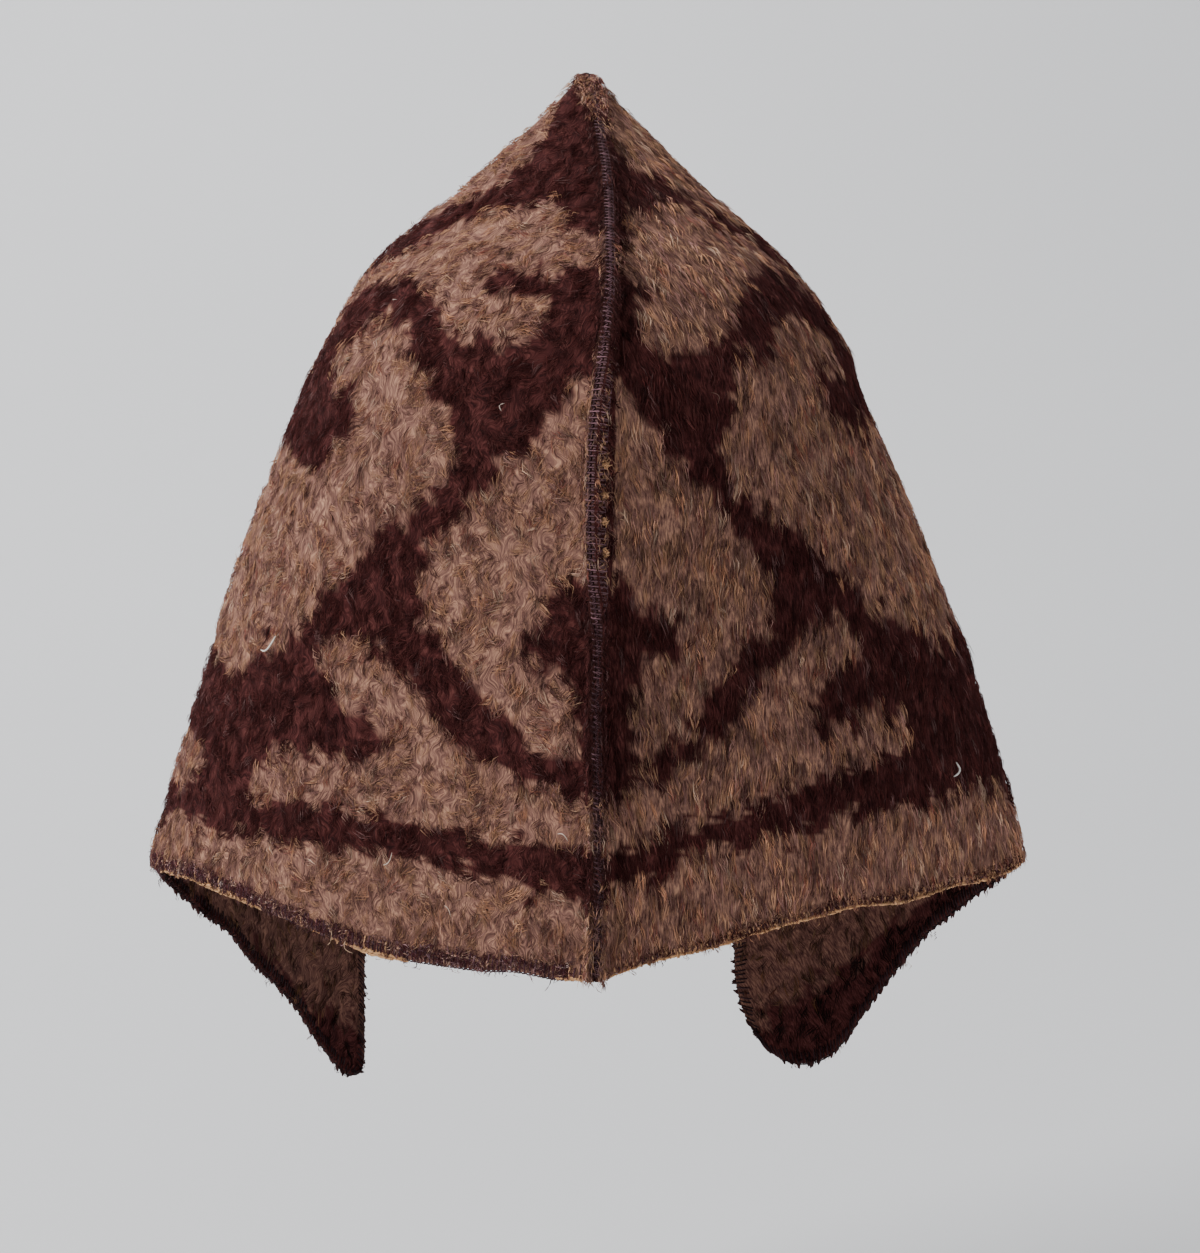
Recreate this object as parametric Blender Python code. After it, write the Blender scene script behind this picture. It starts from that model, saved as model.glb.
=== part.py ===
"""Sauna hat: two tall blanket panels sewn edge to edge into a pointed hat with two ear flaps.

Frame, in metres: +Z is up, +Y is the wearer's front, +X is the side away from the left panel.
The origin is where the top of the wearer's head comes inside the hat.
"""

import math

import bpy
import numpy as np

# Driving dimensions.
WALL = 0.0022  # thickness of the blanket
SEAM_GAP = 0.0003  # between the two panels, wrong side to wrong side
SEAM_FACE = SEAM_GAP / 2 + WALL  # from the middle of the seam to a panel's outer face
APEX_Z = 0.0380  # top of the cloth, under the ridge
FACE_EDGE = 0.811  # where the face edge runs: 0 back seam, 0.5 side fold, 1 front seam
FACE_EDGE_TOP_Z = -0.205  # the face edge is upright below this and arches above it
FOREHEAD_Z = -0.105  # hem at the front seam
UPPER_END_Z = -0.165  # where the upper rows of the grid end at the back seam
BEND = 0.0016  # how softly the cloth turns out into the ridge
SEAM_START = 0.020  # share of the way round at which the panel's own face starts
TIP_ROUND = {"left": (0.014, 0.022), "right": (0.030, 0.040)}  # along the hem, up the edge
COLUMNS = (15, 9, 7)  # back seam to side fold, on to the face edge, on to the front seam
ROWS = (23, 13)  # apex to the face edge's top, on to the hem

# The cloth's outer face, in millimetres, at heights from the apex down. side, back and front are
# reaches from the axis. The powers bend the plan: back and front at the seams, fold at the sides
# (2 is round, 1 is straight). centre is where the axis leans to, and shift is how far the back
# seam wanders from it.
SECTION_COLUMNS = (
    *("z", "side", "back", "front", "back_pow", "front_pow", "fold_pow", "centre", "shift"),
)
SECTIONS = (
    (38, 2.35, 0, 0, 1.60, 1.60, 2.00, -1.0, 0),
    (35, 5.7, 6.0, 6.0, 1.60, 1.60, 2.00, -1.0, 1.2),
    (30, 10.3, 11.5, 11.5, 1.55, 1.60, 2.00, -1.2, 2.6),
    (19, 21.6, 24.5, 24.0, 1.50, 1.60, 2.00, -1.6, 4.0),
    (6, 35.3, 39.0, 38.5, 1.45, 1.60, 2.00, -2.2, 6.3),
    (-7, 51.0, 54.5, 54.0, 1.42, 1.60, 2.00, -3.0, 7.5),
    (-20, 65.6, 73.0, 71.5, 1.40, 1.60, 2.00, -3.2, 7.5),
    (-33, 75.9, 86.0, 84.0, 1.38, 1.60, 2.00, -2.5, 6.1),
    (-46, 83.5, 94.5, 92.0, 1.36, 1.60, 2.00, -2.5, 5.7),
    (-65, 91.5, 102.5, 99.5, 1.33, 1.58, 1.95, -2.7, 4.6),
    (-91, 102.7, 107.0, 105.0, 1.30, 1.52, 1.88, -2.2, 3.2),
    (-118, 113.5, 111.0, 109.5, 1.26, 1.45, 1.78, -1.7, 2.6),
    (-157, 127.1, 117.5, 117.5, 1.20, 1.36, 1.66, -0.5, -0.8),
    (-197, 139.7, 124.5, 128.0, 1.16, 1.26, 1.54, 0, -1.0),
    (-218, 144.8, 127.5, 132.0, 1.15, 1.22, 1.50, -0.3, -1.5),
    (-235, 145.0, 128.5, 132.5, 1.15, 1.22, 1.50, -0.3, -2.3),
    (-340, 145.0, 128.5, 132.5, 1.15, 1.22, 1.50, -0.3, -2.3),
)

# The sewn ridge, in millimetres and degrees: how far it stands up from the cloth and how far it
# leans towards the left panel.
RIDGE_COLUMNS = ("z", "height", "back_lean", "front_lean")
RIDGE = (
    (38, 2.0, 0, 0),
    (30, 3.2, 0, 0),
    (0, 4.4, 0, 0),
    (-30, 4.6, 0, 0),
    (-44, 4.6, 17, 3),
    (-60, 4.6, 42, 6),
    (-85, 4.6, 52, 10),
    (-108, 4.6, 44, 6),
    (-124, 4.6, 19, 3),
    (-142, 4.6, 0, 0),
    (-240, 4.6, -8, 0),
)

# Height of the cut hem in millimetres, from the back seam (0) past the side fold (0.5) to the
# face edge (0.811).
HEM_COLUMNS = ("share", "left", "right")
HEM = (
    (0.000, -228.2, -228.2),
    (0.024, -228.6, -225.6),
    (0.058, -227.8, -223.6),
    (0.094, -228.9, -222.6),
    (0.140, -228.9, -219.8),
    (0.182, -228.3, -218.0),
    (0.240, -224.8, -216.6),
    (0.290, -221.5, -218.0),
    (0.350, -218.4, -217.2),
    (0.410, -217.2, -218.6),
    (0.460, -218.0, -218.6),
    (0.500, -219.6, -218.4),
    (0.530, -226.0, -226.3),
    (0.570, -236.0, -236.0),
    (0.600, -244.5, -244.3),
    (0.630, -252.5, -253.0),
    (0.660, -265.0, -266.5),
    (0.690, -274.0, -284.0),
    (0.710, -280.5, -298.0),
    (0.730, -287.5, -305.0),
    (0.756, -301.0, -308.5),
    (0.780, -313.5, -311.0),
    (0.811, -330.0, -313.5),
)

# How far each flap is swung about the side fold, in degrees, from none at the upper height to all
# of it at the lower one. A positive angle brings the flap inwards.
SWING_FROM_Z, SWING_TO_Z = -0.120, -0.218
SWING = {"left": -7.4, "right": 8.8}

# Soft bulges (out > 0) and dents (out < 0) of the hanging cloth, in millimetres. share is as in
# the hem's table, wide and high are how far a fold spreads.
FOLD_COLUMNS = ("share", "z", "wide", "high", "out")
FOLDS = {
    "left": (
        (0.16, -88, 34, 30, 1.6),
        (0.11, -176, 26, 46, -1.8),
        (0.27, -200, 34, 34, 2.6),
        (0.38, -140, 30, 52, -1.6),
        (0.50, -43, 18, 10, -1.0),
        (0.66, -252, 30, 36, -3.2),
        (0.74, -300, 22, 20, 2.4),
        (0.88, -62, 34, 30, -1.8),
        (0.72, -150, 30, 40, 1.8),
    ),
    "right": (
        (0.14, -60, 34, 24, 1.4),
        (0.10, -150, 24, 60, -2.2),
        (0.25, -176, 32, 42, 1.8),
        (0.40, -205, 24, 26, -1.6),
        (0.50, -48, 16, 7, 1.3),
        (0.50, -148, 16, 9, 1.0),
        (0.66, -266, 40, 46, 6.5),
        (0.78, -292, 20, 20, 1.6),
        (0.86, -70, 30, 34, 1.8),
        (0.73, -160, 30, 36, -1.6),
    ),
}

LEFT_WOOL = (0.115, 0.052, 0.038)
RIGHT_WOOL = (0.095, 0.045, 0.034)


def column(rows, names, name):
    """One named column of a table."""
    return np.array([row[names.index(name)] for row in rows], float)


def smooth(x, xs, ys):
    """A curve through the table's points that doesn't overshoot them."""
    order = np.argsort(xs)
    xs, ys = xs[order], ys[order]
    step, rise = np.diff(xs), np.diff(ys)
    slope = rise / step
    tangent = np.zeros(len(xs))
    tangent[0], tangent[-1] = slope[0], slope[-1]
    for i in range(1, len(xs) - 1):
        if slope[i - 1] * slope[i] > 0:
            a, b = 2 * step[i] + step[i - 1], step[i] + 2 * step[i - 1]
            tangent[i] = (a + b) / (a / slope[i - 1] + b / slope[i])
    x = np.clip(x, xs[0], xs[-1])
    i = np.clip(np.searchsorted(xs, x) - 1, 0, len(step) - 1)
    h = step[i]
    t = (x - xs[i]) / h
    return (
        ys[i] * (1 + 2 * t) * (1 - t) ** 2
        + tangent[i] * h * t * (1 - t) ** 2
        + ys[i + 1] * t**2 * (3 - 2 * t)
        + tangent[i + 1] * h * t**2 * (t - 1)
    )


def section(name, z):
    """A value of the section table at heights z; lengths in metres."""
    values = column(SECTIONS, SECTION_COLUMNS, name)
    size = 1 if name.endswith("_pow") else 0.001
    return smooth(z, column(SECTIONS, SECTION_COLUMNS, "z") * 0.001, values * size)


def ridge(name, z):
    """A value of the ridge table at heights z; lengths in metres, angles in radians."""
    values = column(RIDGE, RIDGE_COLUMNS, name)
    size = 0.001 if name == "height" else math.pi / 180
    return smooth(z, column(RIDGE, RIDGE_COLUMNS, "z") * 0.001, values * size)


def hem_height(side, share):
    """Height of the cut hem."""
    shares = column(HEM, HEM_COLUMNS, "share")
    return smooth(share, shares, column(HEM, HEM_COLUMNS, side) * 0.001)


def outline(side, share, z):
    """Points of a panel's outer face, by share of the way round and height."""
    share, z = np.broadcast_arrays(np.asarray(share, float), np.asarray(z, float))
    shape = share.shape
    share, z = share.ravel(), z.ravel()
    x, y = np.empty(len(z)), np.empty(len(z))
    turn = np.linspace(0, math.pi / 2, 61)
    wide = section("side", z) - SEAM_FACE
    for half, power, sign in (("back", "back_pow", -1), ("front", "front_pow", 1)):
        here = np.flatnonzero(share <= 0.5 if half == "back" else share > 0.5)
        reach, at_seam = section(half, z[here]), section(power, z[here])
        at_fold = section("fold_pow", z[here])
        for k, i in enumerate(here):
            xs = wide[i] * np.sin(turn) ** (2 / at_seam[k])
            ys = reach[k] * np.cos(turn) ** (2 / at_fold[k])
            run = np.concatenate([[0], np.cumsum(np.hypot(np.diff(xs), np.diff(ys)))])
            at = (share[i] if half == "back" else 1 - share[i]) * 2 * run[-1]
            x[i], y[i] = np.interp(at, run, xs), sign * np.interp(at, run, ys)
    x += SEAM_FACE
    x, y = swung(side, share, z, x, y)
    x, y = folded(side, share, z, x, y)
    way = -1 if side == "left" else 1
    back = np.clip(-y / np.maximum(section("back", z), 1e-4), 0, 1)
    x = way * x + section("centre", z) + section("shift", z) * back**2
    return np.stack([x, y, z], axis=-1).reshape(shape + (3,))


def swung(side, share, z, x, y):
    """The part in front of the side fold, turned about the fold where the cloth hangs free."""
    part = np.clip((SWING_FROM_Z - z) / (SWING_FROM_Z - SWING_TO_Z), 0, 1)
    angle = math.radians(SWING[side]) * part**2 * (3 - 2 * part) * (share > 0.5)
    corner = section("side", z)
    dx = x - corner
    return (
        corner + dx * np.cos(angle) - y * np.sin(angle),
        dx * np.sin(angle) + y * np.cos(angle),
    )


def folded(side, share, z, x, y):
    """The soft bulges and dents, pushed straight out from the axis."""
    away = np.maximum(np.hypot(x, y), 1e-4)
    clear = np.clip(np.minimum(share, 1 - share) / 0.05, 0, 1)
    push = np.zeros(len(z))
    for at, height, wide, high, out in FOLDS[side]:
        across = (share - at) * 0.39 / (wide * 0.001)
        down = (z - height * 0.001) / (high * 0.001)
        push += out * 0.001 * np.exp(-(across**2) - down**2)
    push *= clear
    return x + push * x / away, y + push * y / away


def inward(side, share, z):
    """The way from the outer face to the inner one, as unit vectors."""
    near, high = 0.002, 0.0015
    low, up = np.minimum(z, APEX_Z - 2 * high) - high, np.minimum(z, APEX_Z - 2 * high) + high
    round_it = outline(side, np.minimum(share + near, 1), z)
    round_it -= outline(side, np.maximum(share - near, 0), z)
    upward = outline(side, share, up) - outline(side, share, low)
    way = np.cross(upward, round_it) * (1 if side == "right" else -1)
    return way / np.maximum(np.linalg.norm(way, axis=-1, keepdims=True), 1e-12)


def seam_edge(side, half, z, outer, inner):
    """The folded-out edge along a seam: for the outer and the inner face, columns of points from
    the ridge's top to the panel's own first points, given."""
    sign = -1 if half == "back" else 1
    way = -1 if side == "left" else 1
    slope = (section(half, z - 1e-4) - section(half, z + 1e-4)) / 2e-4
    steep = np.where(z > APEX_Z - 1e-5, math.pi / 2, np.arctan(slope))
    lean = ridge(half + "_lean", z)
    middle = section("centre", z) + (section("shift", z) if half == "back" else 0)
    base = np.stack([middle, sign * section(half, z), z], axis=-1)
    across = np.array([1.0, 0, 0])
    out = np.stack([0 * z, sign * np.cos(steep), np.sin(steep)], axis=-1)
    up = np.cos(lean)[:, None] * out - np.sin(lean)[:, None] * across
    face = way * (np.cos(lean)[:, None] * across + np.sin(lean)[:, None] * out)
    # In the plane across the seam the panel's face is a line through its first point.
    start = outer - base - way * SEAM_FACE * across
    run = np.stack([start @ across, (start * out).sum(-1)], axis=-1)
    length = np.linalg.norm(run, axis=-1)
    run = np.where(length[:, None] > 1e-6, run / np.maximum(length, 1e-9)[:, None], [way, 0])
    lift = np.stack([-np.sin(lean), np.cos(lean)], axis=-1)
    turn = run[:, 0] * lift[:, 1] - run[:, 1] * lift[:, 0]
    top = base + up * ridge("height", z)[:, None]
    columns = []
    soft = np.minimum(BEND, 0.35 * length)
    for first_point, distance in ((outer, SEAM_FACE), (inner, SEAM_GAP / 2)):
        from_base = first_point - base - face * distance
        flat = np.stack([from_base @ across, (from_base * out).sum(-1)], axis=-1)
        back_by = (flat[:, 0] * lift[:, 1] - flat[:, 1] * lift[:, 0]) / turn
        lifted = (run[:, 0] * flat[:, 1] - run[:, 1] * flat[:, 0]) / turn
        corner = base + face * distance + up * lifted[:, None]
        if distance == SEAM_FACE:
            first_lift = np.minimum(lifted + soft, 0.5 * (lifted + ridge("height", z)))
            part = np.clip(soft / np.maximum(np.abs(back_by), 1e-9), 0, 0.7)[:, None]
            last = corner + (outer - corner) * part
            offset = inner - outer
        else:
            last = last + offset
        first = base + face * distance + up * first_lift[:, None]
        middle = (first + 2 * corner + last) / 4
        columns.append([top + face * distance, first, middle, last])
    return columns


def grid(side):
    """Rows of points: the upper rows right round, and the lower rows as far as the face edge."""
    to_fold, to_edge, to_seam = COLUMNS
    even = np.concatenate(
        [
            np.linspace(0, 0.5, to_fold + 1),
            0.5 + (FACE_EDGE - 0.5) * np.sin(np.linspace(0, 1.3, to_edge + 1)[1:]) / math.sin(1.3),
            np.linspace(FACE_EDGE, 1, to_seam + 1)[1:],
        ]
    )
    arch = np.linspace(0, math.pi / 2, to_seam + 1)[1:]
    rounded = even.copy()
    rounded[-to_seam:] = 1 - (1 - FACE_EDGE) * np.cos(arch)
    end = UPPER_END_Z + (FACE_EDGE_TOP_Z - UPPER_END_Z) * (even / FACE_EDGE) ** 2
    end[-to_seam:] = FACE_EDGE_TOP_Z + (FOREHEAD_Z - FACE_EDGE_TOP_Z) * np.sin(arch)
    # The rows lie closer together near the apex, where the cloth turns most.
    down = np.linspace(0, 1, ROWS[0] + 1)
    down = down * (0.62 + 0.38 * down)
    blend = np.clip(down * 1.3 - 0.3, 0, 1)[:, None]
    share = even * (1 - blend) + rounded * blend
    z = APEX_Z + (end - APEX_Z) * down[:, None]
    upper = fill(side, share, z, both_seams=True)
    edge = to_fold + to_edge
    part = np.linspace(0, 1, ROWS[1] + 1)[1:, None]
    share = np.repeat(even[None, : edge + 1], ROWS[1], axis=0)
    hem = hem_height(side, share)
    z = end[: edge + 1] + (hem - end[: edge + 1]) * part
    share, z = rounded_tip(side, share, z, hem)
    return upper, fill(side, share, z, both_seams=False)


def rounded_tip(side, share, z, hem):
    """The flap's corner drawn in to a round tip."""
    metres = 0.40  # once round half the hat, for one unit of share
    along, up = TIP_ROUND[side]
    p = np.clip(1 - (FACE_EDGE - share) * metres / along, 0, 1)
    q = np.clip(1 - (z - hem) / up, 0, 1)
    p2, q2 = p * np.sqrt(1 - q**2 / 2), q * np.sqrt(1 - p**2 / 2)
    new_share = share + (p2 - p) * along / metres
    new_hem = hem_height(side, new_share)
    return new_share, z + (new_hem - hem) * q + (q - q2) * up


def fill(side, share, z, both_seams):
    """The outer and the inner points of some rows, with the folded-out edges at the seams."""
    share = share.copy()
    narrow = np.clip((APEX_Z - z[:, 0]) / 0.040, 0, 1)
    near = SEAM_START * (2.2 - 1.2 * narrow)
    share[:, 0] = np.minimum(near, 0.7 * share[:, 1])
    if both_seams:
        share[:, -1] = 1 - np.minimum(near, 0.7 * (1 - share[:, -2]))
    outer = outline(side, share, z)
    inner = outer + inward(side, share, z) * WALL
    way = 1 if side == "right" else -1
    pole = z[:, 0] > APEX_Z - 1e-6
    inner[pole] = outer[pole] - [way * WALL, 0, 0.0010]
    # Under the apex the two inner faces stay apart.
    back = np.clip(-outer[..., 1] / np.maximum(section("back", z), 1e-4), 0, 1)
    middle = section("centre", z) + section("shift", z) * back**2
    apart = np.maximum(way * (inner[..., 0] - middle), SEAM_GAP / 2)
    inner[..., 0] = np.where(z > 0, middle + way * apart, inner[..., 0])
    layers = [[outer], [inner]]
    edge = seam_edge(side, "back", z[:, 0], outer[:, 0], inner[:, 0])
    for k in (0, 1):
        layers[k].insert(0, np.stack(edge[k], axis=1))
    if both_seams:
        edge = seam_edge(side, "front", z[:, -1], outer[:, -1], inner[:, -1])
        for k in (0, 1):
            layers[k].append(np.stack(edge[k][::-1], axis=1))
    return [np.concatenate(layer, axis=1) for layer in layers]


def collection(name):
    """A new collection in the scene."""
    made = bpy.data.collections.new(name)
    bpy.context.scene.collection.children.link(made)
    return made


def wool(name, colour):
    """A matt woollen material."""
    made = bpy.data.materials.new(name)
    made.use_nodes = True
    shader = made.node_tree.nodes["Principled BSDF"]
    shader.inputs["Base Color"].default_value = (*colour, 1)
    shader.inputs["Roughness"].default_value = 0.95
    return made


def panel(side, colour, where):
    """One panel with its flap, cut in one piece, its seam edges folded out."""
    upper, lower = grid(side)
    rows, below = upper[0].shape[:2]
    width = lower[0].shape[1]
    numbers = np.arange(rows * below).reshape(rows, below)
    numbers_below = np.arange(lower[0].shape[0] * width).reshape(-1, width) + rows * below
    numbers_below = np.concatenate([numbers[-1:, :width], numbers_below])
    one_face = []
    for block in (numbers, numbers_below):
        a, b, c, d = block[:-1, :-1], block[1:, :-1], block[1:, 1:], block[:-1, 1:]
        one_face.append(np.stack([a, b, c, d], axis=-1).reshape(-1, 4))
    one_face = np.concatenate(one_face)
    count = rows * below + lower[0].shape[0] * width
    # The cut edge: down the back seam, along the hem, up the face edge, round the arch, back up.
    edge = list(numbers[1:, 0]) + list(numbers_below[1:, 0]) + list(numbers_below[-1, 1:])
    edge += list(numbers_below[-2:0:-1, -1]) + list(numbers[-1, width - 1 :])
    edge += list(numbers[-2:0:-1, -1]) + [numbers[0, 0]]
    edge = np.array(edge)
    after = np.roll(edge, -1)
    rim = np.stack([edge, edge + count, after + count, after], axis=-1)
    faces = np.concatenate([one_face, one_face[:, ::-1] + count, rim])
    if side == "left":
        faces = faces[:, ::-1]
    points = [layer.reshape(-1, 3) for layer in (upper[0], lower[0], upper[1], lower[1])]
    mesh = bpy.data.meshes.new(side + "_panel")
    mesh.from_pydata(np.concatenate(points).tolist(), [], faces.tolist())
    made = bpy.data.objects.new(side + "_panel", mesh)
    where.objects.link(made)
    weld = made.modifiers.new("apex", "WELD")
    weld.merge_threshold = 0.00002
    mesh.materials.append(wool(side + "_wool", colour))
    mesh.shade_smooth()
    return made


for old in list(bpy.data.objects):
    bpy.data.objects.remove(old)

hat = collection("sauna_hat")
panel("left", LEFT_WOOL, hat)
panel("right", RIGHT_WOOL, hat)
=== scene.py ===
"""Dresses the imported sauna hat: brushed two-colour blanket, its nap, and the overlocked seam and edges."""

import math

import bpy
import numpy as np
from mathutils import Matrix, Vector


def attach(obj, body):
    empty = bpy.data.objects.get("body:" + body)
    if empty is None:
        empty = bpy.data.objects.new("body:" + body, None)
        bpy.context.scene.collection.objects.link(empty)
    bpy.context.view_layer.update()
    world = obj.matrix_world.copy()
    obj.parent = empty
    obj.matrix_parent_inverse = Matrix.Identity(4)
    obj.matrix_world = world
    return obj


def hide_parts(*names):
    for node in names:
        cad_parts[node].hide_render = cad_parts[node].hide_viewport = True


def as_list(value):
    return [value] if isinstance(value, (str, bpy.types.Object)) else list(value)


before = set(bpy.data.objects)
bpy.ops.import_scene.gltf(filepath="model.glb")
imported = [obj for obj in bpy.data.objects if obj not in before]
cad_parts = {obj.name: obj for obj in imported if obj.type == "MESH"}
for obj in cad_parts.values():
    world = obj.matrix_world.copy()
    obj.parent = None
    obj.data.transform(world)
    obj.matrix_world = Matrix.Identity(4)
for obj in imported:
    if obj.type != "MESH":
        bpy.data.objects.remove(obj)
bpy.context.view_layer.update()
bpy.ops.object.select_all(action="DESELECT")

# ---------------------------------------------------------------- camera
# It stands behind the hat, a little above the rim, and looks slightly down at the back seam.
aim = Vector((0.0033, 0, -0.140))
lift, turn = math.radians(7.5), math.radians(-1.5)
back_away = Vector((math.sin(turn) * math.cos(lift), -math.cos(turn) * math.cos(lift), math.sin(lift)))
lens = bpy.data.cameras.new("camera")
lens.lens = 95.82
lens.clip_start = 0.02
camera = bpy.data.objects.new("camera", lens)
bpy.context.scene.collection.objects.link(camera)
camera.location = aim + back_away * 1.100
camera.rotation_euler = (-back_away).to_track_quat("-Z", "Y").to_euler()
bpy.context.scene.camera = camera

# ---------------------------------------------------------------- floor and backdrop
# One wide pale paper sheet lies under the hat and turns up behind it in a large soft bend.
bpy.ops.mesh.primitive_plane_add(size=7, location=(0, 0, -0.43))
paper = bpy.context.object
paper.name = "pale_paper"
bpy.ops.object.transform_apply(location=True)
bpy.ops.object.mode_set(mode="EDIT")
bpy.ops.mesh.select_all(action="DESELECT")
bpy.ops.mesh.select_mode(type="EDGE")
bpy.ops.object.mode_set(mode="OBJECT")
for edge in paper.data.edges:
    edge.select = all(paper.data.vertices[v].co.y > 3 for v in edge.vertices)
bpy.ops.object.mode_set(mode="EDIT")
bpy.ops.mesh.extrude_region_move(TRANSFORM_OT_translate={"value": (0, 0, 5)})
bpy.ops.object.mode_set(mode="OBJECT")
for edge in paper.data.edges:
    edge.select = all(
        paper.data.vertices[v].co.y > 3 and paper.data.vertices[v].co.z < 0 for v in edge.vertices
    )
bpy.ops.object.mode_set(mode="EDIT")
bpy.ops.mesh.bevel(offset=2.4, segments=24)
bpy.ops.object.mode_set(mode="OBJECT")
bpy.ops.object.shade_smooth()
paper_finish = bpy.data.materials.new("pale_paper")
paper_finish.use_nodes = True
tree = paper_finish.node_tree
shader = tree.nodes["Principled BSDF"]
shader.inputs["Roughness"].default_value = 0.9
place = tree.nodes.new("ShaderNodeTexCoord")
cloud = tree.nodes.new("ShaderNodeTexNoise")
cloud.inputs["Scale"].default_value = 1.5
tint = tree.nodes.new("ShaderNodeValToRGB")
tint.color_ramp.elements[0].color = (0.70, 0.70, 0.71, 1)
tint.color_ramp.elements[1].color = (0.76, 0.76, 0.77, 1)
tree.links.new(place.outputs["Object"], cloud.inputs["Vector"])
tree.links.new(cloud.outputs["Fac"], tint.inputs["Fac"])
tree.links.new(tint.outputs["Color"], shader.inputs["Base Color"])
paper.data.materials.append(paper_finish)

# ---------------------------------------------------------------- light
# A large soft window light comes from the upper left, a weak one fills from the right, and the
# pale room gives the rest.
for name, place, size, power in (
    ("window", (-2.1, -1.0, 1.35), 1.3, 74),
    ("fill", (1.8, -1.9, 0.3), 1.8, 17),
    ("over_backdrop", (-1.0, 0.9, 2.7), 2.0, 108),
):
    lamp = bpy.data.lights.new(name, "AREA")
    lamp.size = size
    lamp.energy = power
    held = bpy.data.objects.new(name, lamp)
    bpy.context.scene.collection.objects.link(held)
    held.location = place
    target = Vector((-0.4, 2.7, 0.6)) if name == "over_backdrop" else Vector((0, 0, -0.14))
    held.rotation_euler = (target - held.location).to_track_quat("-Z", "Y").to_euler()
room = bpy.data.worlds.new("room")
bpy.context.scene.world = room
room.use_nodes = True
room.node_tree.nodes["Background"].inputs["Color"].default_value = (0.80, 0.83, 0.88, 1)
room.node_tree.nodes["Background"].inputs["Strength"].default_value = 0.38

# ---------------------------------------------------------------- the two blanket panels
# Each half of the hat is one piece of thick woollen blanket, cut with its ear flap. The two are
# laid wrong side to wrong side and sewn along the back, over the tip and down to the forehead,
# so that their joined edges stand up outside as a ridge.
WALL = 0.0022
SEAM_GAP = 0.0003
SEAM_FACE = SEAM_GAP / 2 + WALL
APEX_Z = 0.0380
FACE_EDGE = 0.811
FACE_EDGE_TOP_Z = -0.205
FOREHEAD_Z = -0.105
UPPER_END_Z = -0.165
BEND = 0.0016
SEAM_START = 0.020
TIP_ROUND = {"left": (0.014, 0.022), "right": (0.030, 0.040)}
COLUMNS = (50, 32, 22)  # back seam to side fold, on to the face edge, on to the front seam
ROWS = (84, 46)  # apex to the face edge's top, on to the hem
SECTION_COLUMNS = ("z", "side", "back", "front", "back_pow", "front_pow", "fold_pow", "centre", "shift")
SECTIONS = (  # lengths in mm; the powers shape the plan's curve at the seams and at the side fold
    (38, 2.35, 0, 0, 1.60, 1.60, 2.00, -1.0, 0),
    (35, 5.7, 6.0, 6.0, 1.60, 1.60, 2.00, -1.0, 1.2),
    (30, 10.3, 11.5, 11.5, 1.55, 1.60, 2.00, -1.2, 2.6),
    (19, 21.6, 24.5, 24.0, 1.50, 1.60, 2.00, -1.6, 4.0),
    (6, 35.3, 39.0, 38.5, 1.45, 1.60, 2.00, -2.2, 6.3),
    (-7, 51.0, 54.5, 54.0, 1.42, 1.60, 2.00, -3.0, 7.5),
    (-20, 65.6, 73.0, 71.5, 1.40, 1.60, 2.00, -3.2, 7.5),
    (-33, 75.9, 86.0, 84.0, 1.38, 1.60, 2.00, -2.5, 6.1),
    (-46, 83.5, 94.5, 92.0, 1.36, 1.60, 2.00, -2.5, 5.7),
    (-65, 91.5, 102.5, 99.5, 1.33, 1.58, 1.95, -2.7, 4.6),
    (-91, 102.7, 107.0, 105.0, 1.30, 1.52, 1.88, -2.2, 3.2),
    (-118, 113.5, 111.0, 109.5, 1.26, 1.45, 1.78, -1.7, 2.6),
    (-157, 127.1, 117.5, 117.5, 1.20, 1.36, 1.66, -0.5, -0.8),
    (-197, 139.7, 124.5, 128.0, 1.16, 1.26, 1.54, 0, -1.0),
    (-218, 144.8, 127.5, 132.0, 1.15, 1.22, 1.50, -0.3, -1.5),
    (-235, 145.0, 128.5, 132.5, 1.15, 1.22, 1.50, -0.3, -2.3),
    (-340, 145.0, 128.5, 132.5, 1.15, 1.22, 1.50, -0.3, -2.3),
)
RIDGE_COLUMNS = ("z", "height", "back_lean", "front_lean")
RIDGE = (  # lengths in mm; how far the ridge leans to the left in degrees
    (38, 2.0, 0, 0),
    (30, 3.2, 0, 0),
    (0, 4.4, 0, 0),
    (-30, 4.6, 0, 0),
    (-44, 4.6, 17, 3),
    (-60, 4.6, 42, 6),
    (-85, 4.6, 52, 10),
    (-108, 4.6, 44, 6),
    (-124, 4.6, 19, 3),
    (-142, 4.6, 0, 0),
    (-240, 4.6, -8, 0),
)
HEM_COLUMNS = ("share", "left", "right")
HEM = (  # height of the cut hem in mm, by share of the way round from the back seam
    (0.000, -228.2, -228.2),
    (0.024, -228.6, -225.6),
    (0.058, -227.8, -223.6),
    (0.094, -228.9, -222.6),
    (0.140, -228.9, -219.8),
    (0.182, -228.3, -218.0),
    (0.240, -224.8, -216.6),
    (0.290, -221.5, -218.0),
    (0.350, -218.4, -217.2),
    (0.410, -217.2, -218.6),
    (0.460, -218.0, -218.6),
    (0.500, -219.6, -218.4),
    (0.530, -226.0, -226.3),
    (0.570, -236.0, -236.0),
    (0.600, -244.5, -244.3),
    (0.630, -252.5, -253.0),
    (0.660, -265.0, -266.5),
    (0.690, -274.0, -284.0),
    (0.710, -280.5, -298.0),
    (0.730, -287.5, -305.0),
    (0.756, -301.0, -308.5),
    (0.780, -313.5, -311.0),
    (0.811, -330.0, -313.5),
)
SWING_FROM_Z, SWING_TO_Z = -0.120, -0.218
SWING = {"left": -7.4, "right": 8.8}
HALF_ROUND = 0.39  # about how long the way round one panel is, in metres
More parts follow.
